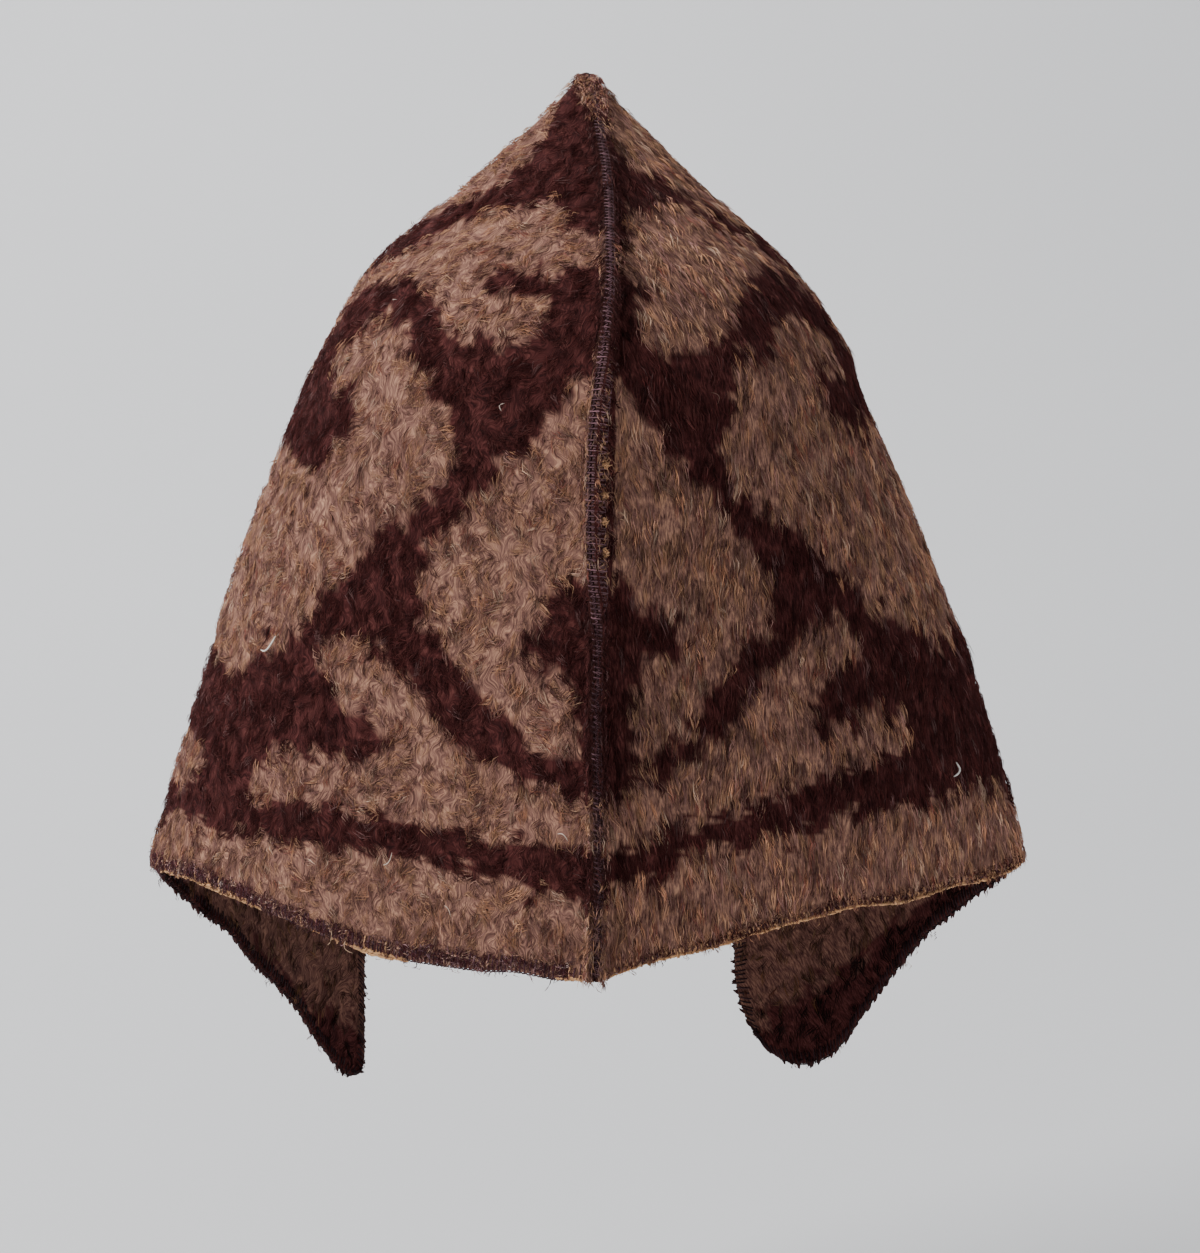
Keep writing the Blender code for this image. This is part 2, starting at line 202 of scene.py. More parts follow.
FOLDS = {  # share of the way round; in mm: height, how wide, how high, how far out
    "left": (
        (0.16, -88, 34, 30, 1.6),
        (0.11, -176, 26, 46, -1.8),
        (0.27, -200, 34, 34, 2.6),
        (0.38, -140, 30, 52, -1.6),
        (0.50, -43, 18, 10, -1.0),
        (0.66, -252, 30, 36, -3.2),
        (0.74, -300, 22, 20, 2.4),
        (0.88, -62, 34, 30, -1.8),
        (0.72, -150, 30, 40, 1.8),
    ),
    "right": (
        (0.14, -60, 34, 24, 1.4),
        (0.10, -150, 24, 60, -2.2),
        (0.25, -176, 32, 42, 1.8),
        (0.40, -205, 24, 26, -1.6),
        (0.50, -48, 16, 7, 1.3),
        (0.50, -148, 16, 9, 1.0),
        (0.66, -266, 40, 46, 6.5),
        (0.78, -292, 20, 20, 1.6),
        (0.86, -70, 30, 34, 1.8),
        (0.73, -160, 30, 36, -1.6),
    ),
}


def column(rows, names, name):
    """One named column of a table."""
    return np.array([row[names.index(name)] for row in rows], float)


def smooth(x, xs, ys):
    """A curve through the table's points that doesn't overshoot them."""
    order = np.argsort(xs)
    xs, ys = xs[order], ys[order]
    step, rise = np.diff(xs), np.diff(ys)
    slope = rise / step
    tangent = np.zeros(len(xs))
    tangent[0], tangent[-1] = slope[0], slope[-1]
    for i in range(1, len(xs) - 1):
        if slope[i - 1] * slope[i] > 0:
            a, b = 2 * step[i] + step[i - 1], step[i] + 2 * step[i - 1]
            tangent[i] = (a + b) / (a / slope[i - 1] + b / slope[i])
    x = np.clip(x, xs[0], xs[-1])
    i = np.clip(np.searchsorted(xs, x) - 1, 0, len(step) - 1)
    h = step[i]
    t = (x - xs[i]) / h
    return (
        ys[i] * (1 + 2 * t) * (1 - t) ** 2
        + tangent[i] * h * t * (1 - t) ** 2
        + ys[i + 1] * t**2 * (3 - 2 * t)
        + tangent[i + 1] * h * t**2 * (t - 1)
    )


def section(name, z):
    """A value of the section table at heights z; lengths in metres."""
    values = column(SECTIONS, SECTION_COLUMNS, name)
    size = 1 if name.endswith("_pow") else 0.001
    return smooth(z, column(SECTIONS, SECTION_COLUMNS, "z") * 0.001, values * size)


def ridge(name, z):
    """A value of the ridge table at heights z; lengths in metres, angles in radians."""
    values = column(RIDGE, RIDGE_COLUMNS, name)
    size = 0.001 if name == "height" else math.pi / 180
    return smooth(z, column(RIDGE, RIDGE_COLUMNS, "z") * 0.001, values * size)


def hem_height(side, share):
    """Height of the cut hem."""
    return smooth(share, column(HEM, HEM_COLUMNS, "share"), column(HEM, HEM_COLUMNS, side) * 0.001)


def outline(side, share, z):
    """Points of a panel's outer face, by share of the way round and height."""
    share, z = np.broadcast_arrays(np.asarray(share, float), np.asarray(z, float))
    shape = share.shape
    share, z = share.ravel(), z.ravel()
    x, y = np.empty(len(z)), np.empty(len(z))
    turn = np.linspace(0, math.pi / 2, 61)
    wide = section("side", z) - SEAM_FACE
    for half, power, sign in (("back", "back_pow", -1), ("front", "front_pow", 1)):
        here = np.flatnonzero(share <= 0.5 if half == "back" else share > 0.5)
        reach, at_seam = section(half, z[here]), section(power, z[here])
        at_fold = section("fold_pow", z[here])
        for k, i in enumerate(here):
            xs = wide[i] * np.sin(turn) ** (2 / at_seam[k])
            ys = reach[k] * np.cos(turn) ** (2 / at_fold[k])
            run = np.concatenate([[0], np.cumsum(np.hypot(np.diff(xs), np.diff(ys)))])
            at = (share[i] if half == "back" else 1 - share[i]) * 2 * run[-1]
            x[i], y[i] = np.interp(at, run, xs), sign * np.interp(at, run, ys)
    x += SEAM_FACE
    # The part in front of the side fold hangs free lower down and swings about the fold.
    part = np.clip((SWING_FROM_Z - z) / (SWING_FROM_Z - SWING_TO_Z), 0, 1)
    angle = math.radians(SWING[side]) * part**2 * (3 - 2 * part) * (share > 0.5)
    corner = section("side", z)
    dx = x - corner
    x, y = corner + dx * np.cos(angle) - y * np.sin(angle), dx * np.sin(angle) + y * np.cos(angle)
    # Soft bulges and dents, pushed straight out from the axis.
    away = np.maximum(np.hypot(x, y), 1e-4)
    push = np.zeros(len(z))
    for at, height, wide_by, high, out in FOLDS[side]:
        across = (share - at) * HALF_ROUND / (wide_by * 0.001)
        down = (z - height * 0.001) / (high * 0.001)
        push += out * 0.001 * np.exp(-(across**2) - down**2)
    push *= np.clip(np.minimum(share, 1 - share) / 0.05, 0, 1)
    x, y = x + push * x / away, y + push * y / away
    way = -1 if side == "left" else 1
    back = np.clip(-y / np.maximum(section("back", z), 1e-4), 0, 1)
    x = way * x + section("centre", z) + section("shift", z) * back**2
    return np.stack([x, y, z], axis=-1).reshape(shape + (3,))


def inward(side, share, z):
    """The way from the outer face to the inner one, as unit vectors."""
    near, high = 0.002, 0.0015
    low, up = np.minimum(z, APEX_Z - 2 * high) - high, np.minimum(z, APEX_Z - 2 * high) + high
    round_it = outline(side, np.minimum(share + near, 1), z)
    round_it -= outline(side, np.maximum(share - near, 0), z)
    upward = outline(side, share, up) - outline(side, share, low)
    way = np.cross(upward, round_it) * (1 if side == "right" else -1)
    return way / np.maximum(np.linalg.norm(way, axis=-1, keepdims=True), 1e-12)


def seam_frame(half, z):
    """Points along the middle of the seam, and the ways up the ridge and across it to the right."""
    sign = -1 if half == "back" else 1
    slope = (section(half, z - 1e-4) - section(half, z + 1e-4)) / 2e-4
    steep = np.where(z > APEX_Z - 1e-5, math.pi / 2, np.arctan(slope))
    lean = ridge(half + "_lean", z)[:, None]
    middle = section("centre", z) + (section("shift", z) if half == "back" else 0)
    base = np.stack([middle, sign * section(half, z), z], axis=-1)
    across = np.array([1.0, 0, 0])
    out = np.stack([0 * z, sign * np.cos(steep), np.sin(steep)], axis=-1)
    up = np.cos(lean) * out - np.sin(lean) * across
    return base, out, up, np.cos(lean) * across + np.sin(lean) * out


def seam_edge(side, half, z, outer, inner):
    """The folded-out edge along a seam: for the outer and the inner face, columns of points from
    the ridge's top to the panel's own first points, given."""
    way = -1 if side == "left" else 1
    lean = ridge(half + "_lean", z)
    base, out, up, face = seam_frame(half, z)
    face = way * face
    across = np.array([1.0, 0, 0])
    start = outer - base - way * SEAM_FACE * across
    run = np.stack([start @ across, (start * out).sum(-1)], axis=-1)
    length = np.linalg.norm(run, axis=-1)
    run = np.where(length[:, None] > 1e-6, run / np.maximum(length, 1e-9)[:, None], [way, 0])
    lift = np.stack([-np.sin(lean), np.cos(lean)], axis=-1)
    turn = run[:, 0] * lift[:, 1] - run[:, 1] * lift[:, 0]
    top = base + up * ridge("height", z)[:, None]
    columns = []
    soft = np.minimum(BEND, 0.35 * length)
    for first_point, distance in ((outer, SEAM_FACE), (inner, SEAM_GAP / 2)):
        from_base = first_point - base - face * distance
        flat = np.stack([from_base @ across, (from_base * out).sum(-1)], axis=-1)
        back_by = (flat[:, 0] * lift[:, 1] - flat[:, 1] * lift[:, 0]) / turn
        lifted = (run[:, 0] * flat[:, 1] - run[:, 1] * flat[:, 0]) / turn
        corner = base + face * distance + up * lifted[:, None]
        if distance == SEAM_FACE:
            first_lift = np.minimum(lifted + soft, 0.5 * (lifted + ridge("height", z)))
            part = np.clip(soft / np.maximum(np.abs(back_by), 1e-9), 0, 0.7)[:, None]
            last = corner + (outer - corner) * part
            offset = inner - outer
        else:
            last = last + offset
        first = base + face * distance + up * first_lift[:, None]
        columns.append([top + face * distance, first, (first + 2 * corner + last) / 4, last])
    return columns


def fill(side, share, z, both_seams):
    """The outer and the inner points of some rows, with the folded-out edges at the seams."""
    share = share.copy()
    near = SEAM_START * (2.2 - 1.2 * np.clip((APEX_Z - z[:, 0]) / 0.040, 0, 1))
    share[:, 0] = np.minimum(near, 0.7 * share[:, 1])
    if both_seams:
        share[:, -1] = 1 - np.minimum(near, 0.7 * (1 - share[:, -2]))
    outer = outline(side, share, z)
    inner = outer + inward(side, share, z) * WALL
    way = 1 if side == "right" else -1
    pole = z[:, 0] > APEX_Z - 1e-6
    inner[pole] = outer[pole] - [way * WALL, 0, 0.0010]
    back = np.clip(-outer[..., 1] / np.maximum(section("back", z), 1e-4), 0, 1)
    middle = section("centre", z) + section("shift", z) * back**2
    apart = np.maximum(way * (inner[..., 0] - middle), SEAM_GAP / 2)
    inner[..., 0] = np.where(z > 0, middle + way * apart, inner[..., 0])
    layers = [[outer], [inner]]
    edge = seam_edge(side, "back", z[:, 0], outer[:, 0], inner[:, 0])
    for k in (0, 1):
        layers[k].insert(0, np.stack(edge[k], axis=1))
    if both_seams:
        edge = seam_edge(side, "front", z[:, -1], outer[:, -1], inner[:, -1])
        for k in (0, 1):
            layers[k].append(np.stack(edge[k][::-1], axis=1))
    return [np.concatenate(layer, axis=1) for layer in layers]


def grid(side):
    """Rows of points: the upper rows right round, and the lower rows as far as the face edge."""
    to_fold, to_edge, to_seam = COLUMNS
    even = np.concatenate(
        [
            np.linspace(0, 0.5, to_fold + 1),
            0.5 + (FACE_EDGE - 0.5) * np.sin(np.linspace(0, 1.3, to_edge + 1)[1:]) / math.sin(1.3),
            np.linspace(FACE_EDGE, 1, to_seam + 1)[1:],
        ]
    )
    arch = np.linspace(0, math.pi / 2, to_seam + 1)[1:]
    rounded = even.copy()
    rounded[-to_seam:] = 1 - (1 - FACE_EDGE) * np.cos(arch)
    end = UPPER_END_Z + (FACE_EDGE_TOP_Z - UPPER_END_Z) * (even / FACE_EDGE) ** 2
    end[-to_seam:] = FACE_EDGE_TOP_Z + (FOREHEAD_Z - FACE_EDGE_TOP_Z) * np.sin(arch)
    down = np.linspace(0, 1, ROWS[0] + 1)
    down = down * (0.62 + 0.38 * down)
    blend = np.clip(down * 1.3 - 0.3, 0, 1)[:, None]
    share = even * (1 - blend) + rounded * blend
    z = APEX_Z + (end - APEX_Z) * down[:, None]
    upper = fill(side, share, z, both_seams=True)
    edge = to_fold + to_edge
    part = np.linspace(0, 1, ROWS[1] + 1)[1:, None]
    share = np.repeat(even[None, : edge + 1], ROWS[1], axis=0)
    hem = hem_height(side, share)
    z = end[: edge + 1] + (hem - end[: edge + 1]) * part
    # The flap's corner is drawn in to a round tip.
    metres = 0.40
    along, up = TIP_ROUND[side]
    p = np.clip(1 - (FACE_EDGE - share) * metres / along, 0, 1)
    q = np.clip(1 - (z - hem) / up, 0, 1)
    p2, q2 = p * np.sqrt(1 - q**2 / 2), q * np.sqrt(1 - p**2 / 2)
    new_share = share + (p2 - p) * along / metres
    z = z + (hem_height(side, new_share) - hem) * q + (q - q2) * up
    return upper, fill(side, new_share, z, both_seams=False)


def flatten(name, points, faces, hem_from, hem_to):
    """Lays the outer face flat as cloth, in metres: 0, 0 is the hem at the back seam."""
    mesh = bpy.data.meshes.new(name)
    mesh.from_pydata(points.tolist(), [], faces.tolist())
    laid = bpy.data.objects.new(name, mesh)
    bpy.context.scene.collection.objects.link(laid)
    bpy.ops.object.select_all(action="DESELECT")
    laid.select_set(True)
    bpy.context.view_layer.objects.active = laid
    mesh.uv_layers.new(name="flat")
    bpy.ops.object.mode_set(mode="EDIT")
    bpy.ops.mesh.select_all(action="SELECT")
    bpy.ops.uv.unwrap(method="CONFORMAL", margin=0)
    bpy.ops.object.mode_set(mode="OBJECT")
    found = np.zeros(len(mesh.loops) * 2)
    mesh.uv_layers["flat"].data.foreach_get("uv", found)
    corners = np.zeros(len(mesh.loops), int)
    mesh.loops.foreach_get("vertex_index", corners)
    flat = np.full((len(points), 2), np.nan)
    flat[corners] = found.reshape(-1, 2)
    a, b, c = faces[:, 0], faces[:, 1], faces[:, 2]
    real = np.linalg.norm(np.cross(points[b] - points[a], points[c] - points[a]), axis=1).sum()
    one, two = flat[b] - flat[a], flat[c] - flat[a]
    flat *= math.sqrt(real / abs((one[:, 0] * two[:, 1] - one[:, 1] * two[:, 0]).sum()))
    run = flat[hem_to] - flat[hem_from]
    angle = math.atan2(run[1], run[0])
    level = np.array([[math.cos(angle), math.sin(angle)], [-math.sin(angle), math.cos(angle)]])
    flat = (flat - flat[hem_from]) @ level.T
    if np.nanmean(flat[:, 1]) < 0:
        flat[:, 1] *= -1
    bpy.data.objects.remove(laid)
    bpy.data.meshes.remove(mesh)
    return flat


# The woven pattern as charted on the flat cloth: millimetres along the hem from the back seam,
# and up from the hem. It is a band, half a stepped diamond round a cross at the seam, and the
# next diamond half a repeat higher at the side. Dark shapes first, then the pale ones on them.
REPEAT_MIDDLE = 148  # the pattern is mirrored here, near the side fold
CHART = {
    "left": (
        ("dark", (-12, 23), (0, 24), (20, 26), (40, 28), (60, 31), (80, 32), (100, 33), (120, 34), (148, 35),
         (148, 86), (140, 88), (130, 93), (120, 95), (113, 99), (106, 104), (102, 110), (97, 114), (84, 119),
         (80, 128), (70, 133), (60, 140), (53, 148), (54, 158), (60, 166), (67, 171), (74, 180), (82, 187),
         (92, 191), (100, 190), (108, 186), (114, 180), (110, 172), (100, 167), (96, 163), (98, 156), (106, 150),
         (116, 146), (124, 150), (134, 156), (141, 160), (148, 162), (148, 178), (140, 182), (130, 188),
         (125, 196), (120, 203), (100, 205), (84, 202), (72, 192), (64, 188), (60, 188), (44, 188), (38, 192),
         (37, 200), (40, 204), (60, 204), (63, 208), (60, 213), (42, 215), (36, 221), (30, 226), (12, 205),
         (14, 186), (20, 180), (24, 168), (30, 160), (38, 152), (43, 144), (48, 136), (56, 128), (61, 121),
         (62, 112), (60, 101), (52, 96), (44, 89), (36, 81), (28, 75), (20, 71), (12, 66), (5, 66), (6, 88),
         (12, 93), (26, 94), (27, 101), (20, 105), (17, 113), (12, 119), (0, 121), (-12, 121)),
        ("pale", (-12, 39), (20, 40), (40, 41), (60, 43), (80, 45), (100, 47), (115, 46), (125, 46), (132, 50),
         (126, 56), (118, 60), (100, 61), (85, 60), (75, 62), (68, 66), (76, 70), (86, 74), (94, 82), (101, 91),
         (100, 95), (92, 98), (84, 98), (76, 92), (66, 86), (58, 80), (54, 74), (44, 66), (34, 62), (28, 60),
         (18, 58), (8, 56), (-12, 56)),
        ("dark", (36, 232), (42, 236), (50, 237), (57, 240), (64, 243), (72, 242), (78, 237), (86, 233), (95, 229),
         (97, 222), (104, 214), (118, 211), (132, 208), (160, 210), (160, 232), (126, 224), (114, 229), (104, 236),
         (96, 240), (90, 248), (86, 256), (87, 264), (88, 274), (94, 284), (100, 300), (60, 280), (30, 240)),
    ),
    "right": (
        ("dark", (-12, 26), (0, 27), (20, 30), (34, 35), (50, 37), (70, 39), (90, 41), (110, 43), (130, 45),
         (148, 47), (148, 96), (135, 98), (120, 102), (106, 105), (102, 112), (92, 119), (84, 122), (80, 130),
         (70, 134), (62, 137), (54, 145), (52, 158), (56, 166), (62, 172), (64, 180), (80, 184), (86, 192),
         (98, 195), (108, 192), (116, 187), (120, 181), (112, 179), (100, 178), (96, 172), (100, 166),
         (112, 160), (122, 160), (132, 164), (148, 168), (148, 186), (138, 190), (128, 196), (120, 206),
         (106, 212), (92, 210), (80, 204), (78, 198), (66, 197), (60, 188), (50, 185), (40, 185), (36, 190),
         (33, 198), (40, 204), (48, 206), (47, 213), (40, 216), (36, 222), (30, 226), (8, 200), (12, 182),
         (22, 180), (27, 170), (33, 160), (40, 151), (50, 141), (57, 131), (63, 122), (66, 112), (62, 101),
         (54, 94), (44, 84), (34, 74), (24, 66), (14, 63), (14, 86), (18, 93), (31, 95), (34, 101), (30, 107),
         (22, 112), (12, 119), (0, 121), (-12, 121)),
        ("pale", (-12, 38), (6, 39), (20, 42), (34, 46), (50, 48), (70, 52), (90, 56), (105, 59), (118, 60),
         (123, 66), (119, 72), (108, 74), (96, 72), (84, 69), (78, 72), (80, 80), (90, 85), (97, 91), (101, 98),
         (92, 103), (80, 102), (70, 96), (61, 88), (53, 79), (43, 71), (31, 62), (20, 57), (8, 56), (-12, 57)),
        ("dark", (36, 228), (46, 226), (56, 230), (60, 240), (74, 243), (82, 244), (88, 238), (96, 241),
         (90, 248), (84, 255), (79, 262), (80, 272), (88, 282), (90, 292), (80, 296), (60, 280), (30, 240)),
        ("dark", (84, 236), (96, 238), (110, 232), (124, 226), (160, 240), (160, 222), (126, 214), (112, 220),
         (98, 228)),
    ),
}
AT_FOLD = {  # where the cloth at the side fold differs from the mirrored chart, not mirrored
    "left": ("pale", (159, 57), (166, 62), (176, 61), (190, 57), (196, 42), (182, 42), (172, 45), (165, 50)),
    "right": ("dark", (152, 48), (152, 84), (196, 84), (196, 48)),
}
HEM_LINE = {  # where the cut hem comes on the flat cloth
    "left": ((0, 0), (57, -2), (97, 4), (138, 12), (179, 17), (232, 17), (296, 4), (352, -14)),
    "right": ((0, 3), (59, 10), (100, 14), (141, 17), (182, 22), (234, 25), (302, 11), (350, 6)),
}
FLAP_GROUND = {  # pale bands over the cut edge at 180, 220 and 300 mm, pale radius at the tip, top at the fold
    "left": ((27, 8, 14), 24, 38),
    "right": ((28, 11, 15), 17, 48),
}


def waves(seed, a, b, longest, count=7):
    """A soft random field over the flat cloth, mostly from -1 to 1."""
    luck = np.random.default_rng(seed)
    total = 0
    for way, size, phase in luck.uniform(0, 1, (count, 3)):
        along = a * math.cos(way * 2 * math.pi) + b * math.sin(way * 2 * math.pi)
        total = total + np.sin(2 * math.pi * (along / (longest * (0.4 + 0.6 * size)) + phase))
    return total / math.sqrt(count) * 1.1


def within(corners, a, b):
    """Which places lie inside a charted shape."""
    inside = np.zeros(len(a), bool)
    for (x0, y0), (x1, y1) in zip(corners, corners[1:] + corners[:1]):
        if y0 != y1:
            inside ^= ((y0 > b) != (y1 > b)) & (a < (x1 - x0) * (b - y0) / (y1 - y0) + x0)
    return inside


def woven(side, flat):
    """1 where the flat cloth's right side is dark, 0 where it is pale."""
    across, b = flat[:, 0] * 1000, flat[:, 1] * 1000
    line = np.array(HEM_LINE[side], float)
    mirrored = np.abs(np.where(across > REPEAT_MIDDLE, 2 * REPEAT_MIDDLE - across, across))
    drop = np.interp(across, line[:, 0], line[:, 1]) - np.interp(mirrored, line[:, 0], line[:, 1])
    b = b - drop * np.clip(1.25 - b / 160, 0, 1)
    a = mirrored + 1.3 * waves(5, across, b, 17) + 0.9 * waves(6, across, b, 6)
    b = b + 1.3 * waves(7, a, b, 17) + 0.9 * waves(8, a, b, 6)
    # Brushing has drawn the tones into each other as hanging wisps.
    b = b + (3.0 if side == "right" else 1.7) * waves(9, a, b * 0.2, 4.8)
    a = np.minimum(a, REPEAT_MIDDLE - 0.5)
    dark = np.zeros(len(a), bool)
    for tone, *corners in CHART[side]:
        inside = within(corners, a, b)
        dark = dark | inside if tone == "dark" else dark & ~inside
    tone, *corners = AT_FOLD[side]
    inside = within(corners, across, b)
    dark = dark | inside if tone == "dark" else dark & ~inside
    # On the flap the dark ground comes down close to the cut edge, but not into the flap's tip.
    above = b - np.interp(mirrored, line[:, 0], line[:, 1])
    bands, tip_radius, top_at_fold = FLAP_GROUND[side]
    band = np.interp(across, (180, 220, 300), bands)
    ground = (above > band) & (np.hypot(across - 351, above) > tip_radius)
    flap = ((across > 196) & (b < 92)) | ((across > 180) & (b < top_at_fold))
    return (dark | (flap & ground)).astype(float)


def wool_cloth(name, dark, pale, swirl):
    """Brushed two-colour wool. The woven attribute picks the yarn; on the inner face it also holds
    painted shade. Streaks of noise on the flat cloth, bent by the swirl, are the matted fibres, and a
    wider noise mottles them."""
    made = bpy.data.materials.new(name)
    made.use_nodes = True
    tree = made.node_tree
    add, join = tree.nodes.new, tree.links.new
    shader = tree.nodes["Principled BSDF"]
    shader.inputs["Roughness"].default_value = 0.95
    shader.inputs["Specular IOR Level"].default_value = 0.1
    flat = add("ShaderNodeUVMap")
    flat.uv_map = "flat_cloth"
    drift = add("ShaderNodeTexNoise")
    drift.inputs["Scale"].default_value = 75
    drift.inputs["Detail"].default_value = 2
    bend = add("ShaderNodeVectorMath")
    bend.operation = "MULTIPLY_ADD"
    bend.inputs[1].default_value = (swirl, swirl, 0)
    join(flat.outputs["UV"], drift.inputs["Vector"])
    join(drift.outputs["Color"], bend.inputs[0])
    join(flat.outputs["UV"], bend.inputs[2])
    lay = add("ShaderNodeMapping")
    lay.inputs["Scale"].default_value = (1, 0.20, 1)
    join(bend.outputs["Vector"], lay.inputs["Vector"])
    streak = add("ShaderNodeTexNoise")
    streak.inputs["Scale"].default_value = 1500
    streak.inputs["Detail"].default_value = 3
    streak.inputs["Roughness"].default_value = 0.7
    join(lay.outputs["Vector"], streak.inputs["Vector"])
    mottle = add("ShaderNodeTexNoise")
    mottle.inputs["Scale"].default_value = 190
    mottle.inputs["Detail"].default_value = 2
    join(bend.outputs["Vector"], mottle.inputs["Vector"])
    both = add("ShaderNodeMath")
    both.operation = "MULTIPLY_ADD"
    both.inputs[1].default_value = 0.35
    join(mottle.outputs["Fac"], both.inputs[0])
    join(streak.outputs["Fac"], both.inputs[2])
    pattern = add("ShaderNodeAttribute")
    pattern.attribute_name = "woven"
    tones = []
    for stops in (pale, dark):
        ramp = add("ShaderNodeValToRGB")
        ramp.color_ramp.elements.new(0.67)
        for element, place, colour in zip(ramp.color_ramp.elements, (0.50, 0.67, 0.86), stops):
            element.position = place
            element.color = (*colour, 1)
        join(both.outputs["Value"], ramp.inputs["Fac"])
        tones.append(ramp)
    mix = add("ShaderNodeMix")
    mix.data_type = "RGBA"
    join(pattern.outputs["Fac"], mix.inputs["Factor"])
    join(tones[0].outputs["Color"], mix.inputs[6])
    join(tones[1].outputs["Color"], mix.inputs[7])
    join(mix.outputs[2], shader.inputs["Base Color"])
    bump = add("ShaderNodeBump")
    bump.inputs["Strength"].default_value = 0.8
    bump.inputs["Distance"].default_value = 0.0006
    join(both.outputs["Value"], bump.inputs["Height"])
    join(bump.outputs["Normal"], shader.inputs["Normal"])
    return made


DARK_WOOL = ((0.016, 0.0042, 0.0045), (0.048, 0.0115, 0.0110), (0.110, 0.034, 0.030))
PALE_WOOL = ((0.060, 0.025, 0.021), (0.215, 0.107, 0.082), (0.470, 0.255, 0.162))
panels = {}
for side in ("left", "right"):
    upper, lower = grid(side)
    rows, below = upper[0].shape[:2]
    width = lower[0].shape[1]
    numbers = np.arange(rows * below).reshape(rows, below)
    numbers_below = np.arange(lower[0].shape[0] * width).reshape(-1, width) + rows * below
    numbers_below = np.concatenate([numbers[-1:, :width], numbers_below])
    one_face = []
    for block in (numbers, numbers_below):
        a, b, c, d = block[:-1, :-1], block[1:, :-1], block[1:, 1:], block[:-1, 1:]
        one_face.append(np.stack([a, b, c, d], axis=-1).reshape(-1, 4))
    one_face = np.concatenate(one_face)
    count = rows * below + lower[0].shape[0] * width
    edge = list(numbers[1:, 0]) + list(numbers_below[1:, 0]) + list(numbers_below[-1, 1:])
    edge += list(numbers_below[-2:0:-1, -1]) + list(numbers[-1, width - 1 :])
    edge += list(numbers[-2:0:-1, -1]) + [numbers[0, 0]]
    edge = np.array(edge)
    after = np.roll(edge, -1)
    rim = np.stack([edge, edge + count, after + count, after], axis=-1)
    faces = np.concatenate([one_face, one_face[:, ::-1] + count, rim])
    if side == "left":
        faces = faces[:, ::-1]
        one_face = one_face[:, ::-1]
    outer = np.concatenate([upper[0].reshape(-1, 3), lower[0].reshape(-1, 3)])
    inner = np.concatenate([upper[1].reshape(-1, 3), lower[1].reshape(-1, 3)])
    flat = flatten(
        "flat_" + side,
        outer,
        one_face[(one_face >= below).all(axis=1)],
        numbers_below[-1, 4],
        numbers_below[-1, int(0.875 * width)],
    )
    flat[:below] = flat[below : 2 * below].mean(axis=0)
    mesh = bpy.data.meshes.new(side + "_cloth")
    mesh.from_pydata(np.concatenate([outer, inner]).tolist(), [], faces.tolist())
    cloth = bpy.data.objects.new(side + "_cloth", mesh)
    bpy.context.scene.collection.objects.link(cloth)
    corners = np.zeros(len(mesh.loops), int)
    mesh.loops.foreach_get("vertex_index", corners)
    both = np.concatenate([flat, flat + [0.5, 0]])
    mesh.uv_layers.new(name="flat_cloth").data.foreach_set("uv", both[corners].ravel())
    dark = woven(side, flat)
    # The ridge's right flank is wrapped so closely where it lies over that no pale wool shows.
    ridge_points = numbers[:, :2].ravel()
    if side == "right":
        dark[ridge_points[outer[ridge_points, 2] < -0.045]] = 1
    # On the inner face the pattern is reversed, and its pale yarn is painted 58 % of the way to the dark: painted
    # shade inside the hat.
    tone = mesh.attributes.new("woven", "FLOAT", "POINT")
    tone.data.foreach_set("value", np.concatenate([dark, 1 - 0.42 * dark]))
    swirl = 0.022 if side == "left" else 0.005
    mesh.materials.append(wool_cloth(side + "_wool", DARK_WOOL, PALE_WOOL, swirl))
    mesh.shade_smooth()
    bpy.ops.object.select_all(action="DESELECT")
    cloth.select_set(True)
    bpy.context.view_layer.objects.active = cloth
    weld = cloth.modifiers.new("apex", "WELD")
    weld.merge_threshold = 0.00002
    bpy.ops.object.modifier_apply(modifier=weld.name)
    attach(cloth, "root")
    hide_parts(side + "_panel")
    panels[side] = {
        "cloth": cloth, "outer": outer, "inner": inner, "flat": flat, "quads": one_face,
        "upper": upper, "lower": lower, "numbers": numbers, "numbers_below": numbers_below, "on": [],
    }

# ---------------------------------------------------------------- the brushed nap
# Both faces of the blanket are brushed, so fine wool fibres stand off them in small locks. On the
# left panel they lie swirled, on the right one they hang straight down. Each fibre is a thin bent
# sliver, in the colour of the yarn that it was brushed out of, with painted shade and light laid
# on that colour.
PALE_FIBRES = (  # colour, and how common
    ((0.430, 0.235, 0.135), 5),
    ((0.275, 0.143, 0.120), 4.5),
    ((0.165, 0.077, 0.066), 4),
    ((0.075, 0.030, 0.026), 3.6),
    ((0.500, 0.245, 0.135), 1.3),
    ((0.200, 0.058, 0.041), 1.3),
    ((0.480, 0.330, 0.235), 1.0),
)
DARK_FIBRES = (
    ((0.052, 0.0125, 0.0120), 6),
    ((0.032, 0.0080, 0.0080), 5),
    ((0.082, 0.0200, 0.0180), 3),
    ((0.120, 0.0400, 0.0350), 1.0),
    ((0.170, 0.0900, 0.0850), 0.5),
)


def choose(luck, fibres, count):
    """Colours picked from a table of colours and how common they are."""
    weights = np.array([w for _, w in fibres], float)
    return np.array([c for c, _ in fibres])[luck.choice(len(fibres), count, p=weights / weights.sum())]


def yarn_colours(luck, dark):
    """A colour for each place, from the dark yarn where dark is 1 and from the pale one elsewhere."""
    from_dark = choose(luck, DARK_FIBRES, len(dark))
    from_pale = choose(luck, PALE_FIBRES, len(dark))
    return np.where(dark[:, None] > 0.5, from_dark, from_pale)


